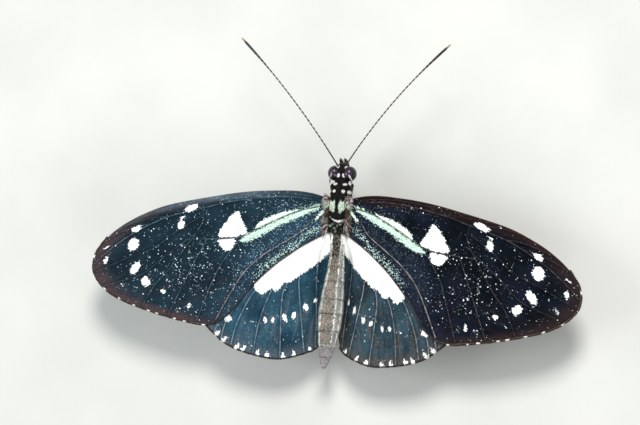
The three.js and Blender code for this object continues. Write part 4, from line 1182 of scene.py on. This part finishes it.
def scatter_on_skin(rng):
    """Random roots on the skin, and the way out of it there."""
    a, b, c, d = (skin_points[skin_quads[:, k]] for k in range(4))
    area = norms(np.cross(c - a, d - b)) / 2
    counts = rng.poisson(area * hair_density((a + b + c + d) / 4))
    picked = np.repeat(np.arange(len(area)), counts)
    u, v = rng.random((2, len(picked), 1))
    roots = (a[picked] * (1 - u) + b[picked] * u) * (1 - v) + (d[picked] * (1 - u) + c[picked] * u) * v
    return roots, skin_slope(roots)


def grow_coat():
    rng = np.random.default_rng(SEED)
    hair = hair_material("body_hair")
    roots, normals = scatter_on_skin(rng)
    keep = depth_in_lump(mirrored(roots), EYE_CENTRE, EYE_RADII) >= 0.06
    roots, normals = roots[keep], normals[keep]
    n = len(roots)
    x, y, z = mirrored(roots).T
    palp, head, abdomen = (y > 7.75) & (z > 6.2), y > NECK_Y, y <= WAIST_Y
    thorax = ~head & ~abdomen
    flank = thorax & (x > 1.2) & (y < 0.3)
    kinds = [palp, head, flank, thorax]

    ways = np.tile((0.0, -1.0, 0.0), (n, 1))
    ways[palp] = (0.0, 0.5, 1.0)
    ways[flank, 0] = 0.35 * np.sign(roots[flank, 0])
    ways += rng.normal(0, 0.2, (n, 3))
    lengths = np.select(kinds, HAIR_LENGTHS[:4], HAIR_LENGTHS[4]) * rng.uniform(0.7, 1.25, n)
    widths = np.select(kinds, HAIR_WIDTHS[:4], HAIR_WIDTHS[4]) * rng.uniform(0.8, 1.2, n)
    lift = np.select(kinds, HAIR_LIFTS[:4], HAIR_LIFTS[4]) * rng.uniform(0.6, 1.3, n)
    tones = body_colour(roots + 0.5 * ways * lengths[:, None]) * rng.uniform(0.7, 1.25, (n, 1))
    odd = rng.random(n)
    tones[thorax & (y < 2.4) & (odd < 0.22)] *= 0.35
    brown = ~abdomen & (y > 2.4) & (odd < 0.12)
    tones[brown] = tones[brown] * 0.75 + BROWN_HAIR * 0.25
    fleck = rng.choice(5, n, p=FLECK_SHARES)
    flecked = abdomen & (fleck > 0) & (tones.mean(axis=1) < 0.65)
    tones[flecked] = 0.35 * tones[flecked] + 0.65 * ABDOMEN_FLECKS[fleck[flecked] - 1]
    for name, on in {"coat_head": head, "coat_thorax": thorax, "coat_abdomen": abdomen}.items():
        grow(name, roots[on], normals[on], ways[on], lengths[on], widths[on], lift[on], tones[on],
             body_uv(roots[on]), hair)


def grow_flank_hair():
    """Long hair from the sides of the thorax over the wing roots."""
    rng = np.random.default_rng(SEED + 3)
    colours = np.array([BROWN_HAIR, GREY_HAIR, PINK_HAIR, WHITE_HAIR, BLACK_HAIR])
    hair = hair_material("flank_hair")
    n = FLANK_HAIRS
    for name, side in SIDES:
        rear = rng.random(n) < 0.78
        y = np.where(rear, rng.uniform(-3.0, 0.3, n), rng.uniform(1.3, 2.5, n))
        x = np.where(rear, rng.uniform(1.25, 1.75, n), rng.uniform(1.7, 2.15, n))
        roots = np.c_[side * x, y, rng.uniform(8.55, 9.0, n)]
        ways = np.c_[side * rng.uniform(0.3, 1.1, n), -np.ones(n), np.zeros(n)]
        normals = unit(np.c_[side * rng.uniform(0.0, 0.4, n), np.zeros(n), np.ones(n)])
        tones = colours[rng.choice(5, n, p=FLANK_SHARES)] * rng.uniform(0.6, 1.3, (n, 1))
        lengths = np.where(rear, rng.uniform(0.6, 1.5, n), rng.uniform(0.3, 0.8, n))
        grow(f"coat_flank_{name}", roots, normals, ways, lengths,
             rng.uniform(0.035, 0.06, n), rng.uniform(-0.02, 0.3, n), tones, body_uv(roots), hair)


grow_coat()
grow_flank_hair()


# Eyes

EYE_RINGS, EYE_SIDES = 40, 56


def eye_material():
    s = Surface("eye_facets", Roughness=0.2, Specular_IOR_Level=0.35, Coat_Weight=0.12, Coat_Roughness=0.08)
    to_middle = s.cells(0.055)[0]
    tone = s.mix(s.ramp(s.noise(0.7), 0.35, 0.7), rgb(52, 38, 56), rgb(82, 62, 86))
    # painted sheen: the top of each eye is a lighter purple, its sides black
    tone = s.mix(s.value("painted_lit_top"), rgb(10, 7, 9), tone)
    tone = s.mix(s.ramp(to_middle, 0.2, 0.6, 0.0, 0.5), tone, rgb(10, 6, 8))
    s.bump(1.0 - to_middle, 0.006, 0.4)
    return s.finish(tone)


eye_surface = eye_material()
for name, side in SIDES:
    points, faces = ball(EYE_CENTRE, EYE_RADII, EYE_RINGS, EYE_SIDES, side)
    # painted sheen: how much of each point belongs to the lit purple top of the eye
    painted_lit_top = ramp(points[:, 2], 8.62, 9.1)
    piece = make_mesh(f"eyeball_{name}", points, faces, eye_surface, {"painted_lit_top": painted_lit_top})
    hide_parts(f"eye_{name}")


# Antennae

ANTENNA_BASE = np.array([0.5, 7.3, 8.5])
ANTENNA_TIP = np.array([16.8, 26.3, 13.7])
ANTENNA_BOW = np.array([-0.55, 0.45, 0.7])
ANTENNA_RADIUS = 0.11
ANTENNA_JOINTS = 34
STEPS_PER_JOINT = 6


def antenna_material():
    s = Surface("antenna_rings", Roughness=0.5, Specular_IOR_Level=0.4)
    tone = s.mix(s.value("ring"), rgb(18, 14, 18), rgb(204, 198, 186))
    tone = s.mix(s.value("tip"), tone, rgb(150, 134, 112))
    tone = s.mix(s.ramp(s.noise(0.12), 0.3, 0.75, 0.0, 0.35), tone, rgb(40, 36, 38))
    s.bump(s.noise(0.05), 0.012)
    return s.finish(tone)


antenna_surface = antenna_material()
t = np.linspace(0, 1, ANTENNA_JOINTS * STEPS_PER_JOINT)
antenna_path = (ANTENNA_BASE + t[:, None] * (ANTENNA_TIP - ANTENNA_BASE)
                + (4 * t * (1 - t))[:, None] * ANTENNA_BOW)
phase = (t * ANTENNA_JOINTS) % 1
radius = ANTENNA_RADIUS + 0.09 * ramp(t, 0.68, 0.93) - 0.1 * ramp(t, 0.95, 1.0)
radius = radius * (1 - 0.14 * bell(phase - 0.02, 0.12)) + 0.05 * bell(t, 0.02)
ring = bell(phase - 0.86, 0.12) * ramp(0.93 - t, 0, 0.25) * ramp(t, 0.05, 0.25)
antenna_marks = {key: np.r_[np.repeat(field, BAR_SIDES), field[0], field[-1]]
                 for key, field in (("ring", ring), ("tip", ramp(t, 0.955, 0.985)))}
for name, side in SIDES:
    tubes = Tubes()
    tubes.add(antenna_path * (side, 1, 1), radius, BAR_SIDES, antenna_marks)
    piece = tubes.make(f"feeler_{name}", antenna_surface)
    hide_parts(f"antenna_{name}")


# Tegulae: the scaly caps over the forewing roots, with the long hair around them

TEGULA_CENTRE = np.array([1.78, 1.75, 9.2])
TEGULA_RADII = np.array([0.55, 0.95, 0.3])
TEGULA_RINGS, TEGULA_SIDES = 14, 20


def build_tegula(name, side, rng, hair):
    points, faces = ball(TEGULA_CENTRE, TEGULA_RADII, TEGULA_RINGS, TEGULA_SIDES, side)
    tone = np.tile(BLACK_HAIR * 1.4, (len(points), 1))
    cap = make_mesh(f"tegula_cap_{name}", points, faces, hair, tone=tone, uv=body_uv(points))
    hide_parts(f"tegula_{name}")
    n = TEGULA_HAIRS
    outward = rng.normal(0, 1, (n, 3))
    outward[:, 2] = np.abs(outward[:, 2])
    outward = unit(outward)
    roots = TEGULA_CENTRE + TEGULA_RADII * outward
    normals = unit(outward / TEGULA_RADII)
    ways = (0.75, -0.8, 0.0) + rng.normal(0, 0.3, (n, 3))
    colours = np.array([BLACK_HAIR, GREY_HAIR, PINK_HAIR, WHITE_HAIR, BROWN_HAIR])
    tones = colours[rng.choice(5, n, p=TEGULA_SHARES)]
    tones[(roots[:, 1] < 1.7) & (roots[:, 0] < 1.95) & (rng.random(n) < 0.6)] = MINT_HAIR * 0.85
    roots, normals, ways = (vectors * (side, 1, 1) for vectors in (roots, normals, ways))
    grow(f"tegula_scales_{name}", roots, normals, ways, rng.uniform(0.3, 0.75, n),
         rng.uniform(0.07, 0.12, n), rng.uniform(0.1, 0.3, n), tones, body_uv(roots), hair)


tegula_rng = np.random.default_rng(SEED + 1)
tegula_hair = hair_material("tegula_scales")
for name, side in SIDES:
    build_tegula(name, side, tegula_rng, tegula_hair)


# Legs

WALKING_RADII = [0.34, 0.2, 0.15, 0.13, 0.09]
LEGS = {                         # joints of the right leg, and the radii there
    "fore": ([(0.8, 3.0, 6.9), (1.25, 5.0, 5.5), (1.0, 2.5, 4.95)], [0.26, 0.2, 0.12]),
    "mid": ([(1.0, 0.7, 6.2), (4.9, 1.8, 6.0), (6.2, 2.1, 1.1), (6.9, 2.4, 0.14), (8.6, 3.2, 0.14)],
            WALKING_RADII),
    "hind": ([(0.9, -1.4, 6.2), (4.6, -5.8, 5.4), (6.8, -9.9, 1.1), (7.3, -11.2, 0.14), (8.2, -13.4, 0.14)],
             WALKING_RADII),
}
FIRST_BRISTLE, BRISTLE_SPACING = 0.4, 0.13       # along the leg
BRISTLE_RADII = [0.028, 0.006]
CLAW_RADII = [0.05, 0.035, 0.008]


def leg_material():
    s = Surface("leg_scales", Roughness=0.55, Specular_IOR_Level=0.4, Sheen_Weight=0.08)
    scales = s.cells(0.08)[1]
    tone = s.mix(s.ramp(s.noise(0.5, 3.0), 0.3, 0.7), rgb(30, 24, 24), rgb(74, 60, 54))
    tone = s.mix(s.ramp(scales, 0.75, 1.0, 0.0, 0.6), tone, rgb(150, 142, 132))
    s.bump(scales + s.noise(0.1), 0.015, 0.6)
    return s.finish(tone)


def build_leg(pair, name, side, surface, rng):
    joints, radii = LEGS[pair]
    joints = np.array(joints)
    table = rounded(even_steps(np.c_[joints, radii], 0.06), 5)
    path, radius = table[:, :3], table[:, 3].copy()
    along = lengths_along(path)
    to_joint = np.min([norms(path - joint) for joint in joints[1:3]], axis=0)
    radius *= 1 + 0.25 * bell(to_joint, 0.3)
    if pair != "fore":           # five joints of the foot
        start = along[np.argmin(norms(path - joints[3]))]
        tarsus = np.clip((along - start) / (along[-1] - start), 0, 1)
        radius *= np.where(tarsus > 0, 1 - 0.22 * np.exp(-(((tarsus * 5) % 1 - 0.5) / 0.5) ** 8), 1)
    femur_end = along[np.argmin(norms(path - joints[1]))]
    path = path * (side, 1, 1)
    tubes = Tubes()
    tubes.add(path, radius, BAR_SIDES)

    for at in np.arange(FIRST_BRISTLE, along[-1] - 0.05, BRISTLE_SPACING):
        centre, further = (np.array([np.interp(place, along, column) for column in path.T])
                           for place in (at, at + 0.05))
        ahead = unit(further - centre)
        out = rng.normal(0, 1, 3)
        out[2] = abs(out[2])
        out = unit(out - ahead * (out @ ahead))
        size = 0.22 if at < femur_end else 0.3
        root = centre + out * np.interp(at, along, radius) * 0.8
        tubes.add([root, root + out * size * 0.45 + ahead * size * 0.8], BRISTLE_RADII, 5)
    if pair != "fore":
        end, ahead = path[-1], unit(path[-1] - path[-4])
        beside = np.cross(ahead, (0, 0, 1.0))
        for turn in (-1, 1):
            claw = [end - ahead * 0.05, end + ahead * 0.14 + beside * turn * 0.09 + (0, 0, 0.02),
                    end + ahead * 0.24 + beside * turn * 0.12 - (0, 0, 0.09)]
            tubes.add(claw, CLAW_RADII, 6)
    piece = tubes.make(f"leg_{pair}_{name}_look", surface)
    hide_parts(f"leg_{pair}_{name}")


leg_rng = np.random.default_rng(SEED + 2)
leg_surface = leg_material()
for pair in LEGS:
    for name, side in SIDES:
        build_leg(pair, name, side, leg_surface, leg_rng)


# Proboscis, rolled up under the head

PROBOSCIS_CENTRE = (7.35, 5.0)
PROBOSCIS_START = (6.7, 6.6)
PROBOSCIS_TURNS = 1.35
PROBOSCIS_STEP = 0.035
PROBOSCIS_SIDES = 10


def proboscis_material():
    s = Surface("proboscis_rings", Roughness=0.4, Specular_IOR_Level=0.5)
    tone = s.mix(s.value("ring"), rgb(58, 42, 32), rgb(20, 14, 12))
    tone = s.mix(s.ramp(s.noise(0.2), 0.4, 0.7, 0.0, 0.5), tone, rgb(78, 58, 44))
    s.bump(s.noise(0.05), 0.01)
    return s.finish(tone)


def build_proboscis():
    t = np.linspace(0, 1, 240)
    angle = math.radians(95) - 2 * math.pi * PROBOSCIS_TURNS * t
    reach = 1.25 - 0.85 * t
    coil = np.c_[PROBOSCIS_CENTRE[0] + reach * np.cos(angle), PROBOSCIS_CENTRE[1] + reach * np.sin(angle)]
    lead = np.linspace(PROBOSCIS_START, coil[0], 14)[:-1]
    line = even_steps(rounded(np.r_[lead, coil], 6), PROBOSCIS_STEP)
    share = np.linspace(0, 1, len(line))
    ridge = (np.arange(len(line)) % 3 == 0).astype(float)
    radius = (0.17 - 0.07 * share) * (1 - 0.08 * ridge)
    tubes = Tubes()
    for side in (-1, 1):
        path = np.c_[side * radius * 0.62, line]
        tubes.add(path, radius, PROBOSCIS_SIDES, {"ring": np.r_[np.repeat(ridge, PROBOSCIS_SIDES), 0, 0]})
    piece = tubes.make("proboscis_coil", proboscis_material())
    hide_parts("proboscis")


build_proboscis()


# Stage: camera, lights and floor

CAMERA_DISTANCE = 300.0
IMAGE_WIDTH, IMAGE_HEIGHT = 640, 425
SENSOR_WIDTH = 36.0
MM_PER_PIXEL = 76 / 486          # at the thorax, seen from the camera's distance
CAMERA_SIDE, CAMERA_BACK, CAMERA_ROLL = 15.0, 8.0, 5.3
THORAX_PIXEL = (337.5, 213.0)    # where the point over the thorax is in the picture
THORAX_TOP = np.array([0.0, 0.0, 8.5])
LIGHT_AIM = (0, -6, 8)
WORLD_COLOUR, WORLD_STRENGTH = (0.75, 0.78, 0.8, 1.0), 0.45
FLOOR_HALF = 1500.0
FLOOR_DROP = 0.03                # of the floor's top, under the feet


def place_camera():
    side, back, roll = np.radians([CAMERA_SIDE, CAMERA_BACK, CAMERA_ROLL])
    to_camera = np.array([math.sin(side), -math.cos(side) * math.sin(back), math.cos(side) * math.cos(back)])
    head = np.array([0, 1.0, 0])
    up = unit(head - to_camera * (head @ to_camera))
    right = np.cross(up, to_camera)
    right, up = right * math.cos(roll) + up * math.sin(roll), up * math.cos(roll) - right * math.sin(roll)
    off_x = (THORAX_PIXEL[0] - IMAGE_WIDTH / 2) * MM_PER_PIXEL
    off_y = (IMAGE_HEIGHT / 2 - THORAX_PIXEL[1]) * MM_PER_PIXEL
    eye = to_frame(THORAX_TOP + to_camera * CAMERA_DISTANCE - right * off_x - up * off_y)
    data = bpy.data.cameras.new("camera")
    data.sensor_width = SENSOR_WIDTH
    data.lens = SENSOR_WIDTH * CAMERA_DISTANCE / MM_PER_PIXEL / IMAGE_WIDTH
    data.clip_start = 0.01
    camera = add_object("camera", data)
    camera.matrix_world = Matrix([*np.c_[right, up, to_camera, eye].tolist(), (0, 0, 0, 1)])
    bpy.context.scene.camera = camera


def add_light(name, place, size, power, colour):
    data = bpy.data.lights.new(name, "AREA")
    data.shape = "DISK"
    data.size = size * MM
    data.energy = power
    data.color = colour
    lamp = add_object(name, data)
    lamp.location = Vector(to_frame(place))
    lamp.rotation_euler = (Vector(to_frame(LIGHT_AIM)) - lamp.location).to_track_quat("-Z", "Y").to_euler()


def add_floor():
    s = Surface("floor_pale", Roughness=0.8)
    tone = s.mix(s.ramp(s.noise(30.0, 4.0), 0.3, 0.7), rgb(190, 192, 188), rgb(200, 201, 197))
    s.bump(s.noise(0.6, 3.0), 0.02, 0.3)
    corners = [(x * FLOOR_HALF, y * FLOOR_HALF, -FLOOR_DROP) for x, y in ((-1, -1), (1, -1), (1, 1), (-1, 1))]
    mesh = bpy.data.meshes.new("floor")
    mesh.from_pydata(to_frame(corners).tolist(), [], [(0, 1, 2, 3)])
    mesh.materials.append(s.finish(tone))
    floor = add_object("floor", mesh)


def add_world():
    world = bpy.data.worlds.new("studio")
    world.use_nodes = True
    background = world.node_tree.nodes["Background"]
    background.inputs["Color"].default_value = WORLD_COLOUR
    background.inputs["Strength"].default_value = WORLD_STRENGTH
    bpy.context.scene.world = world


place_camera()
add_floor()
add_light("key", (60, 190, 330), 130, 1.5, (1.0, 0.98, 0.95))
add_light("fill", (-260, -60, 260), 220, 0.7, (0.93, 0.97, 1.0))
add_light("rim", (180, -260, 220), 200, 0.5, (1.0, 0.98, 0.96))
add_world()
bpy.context.scene.view_settings.view_transform = "Standard"
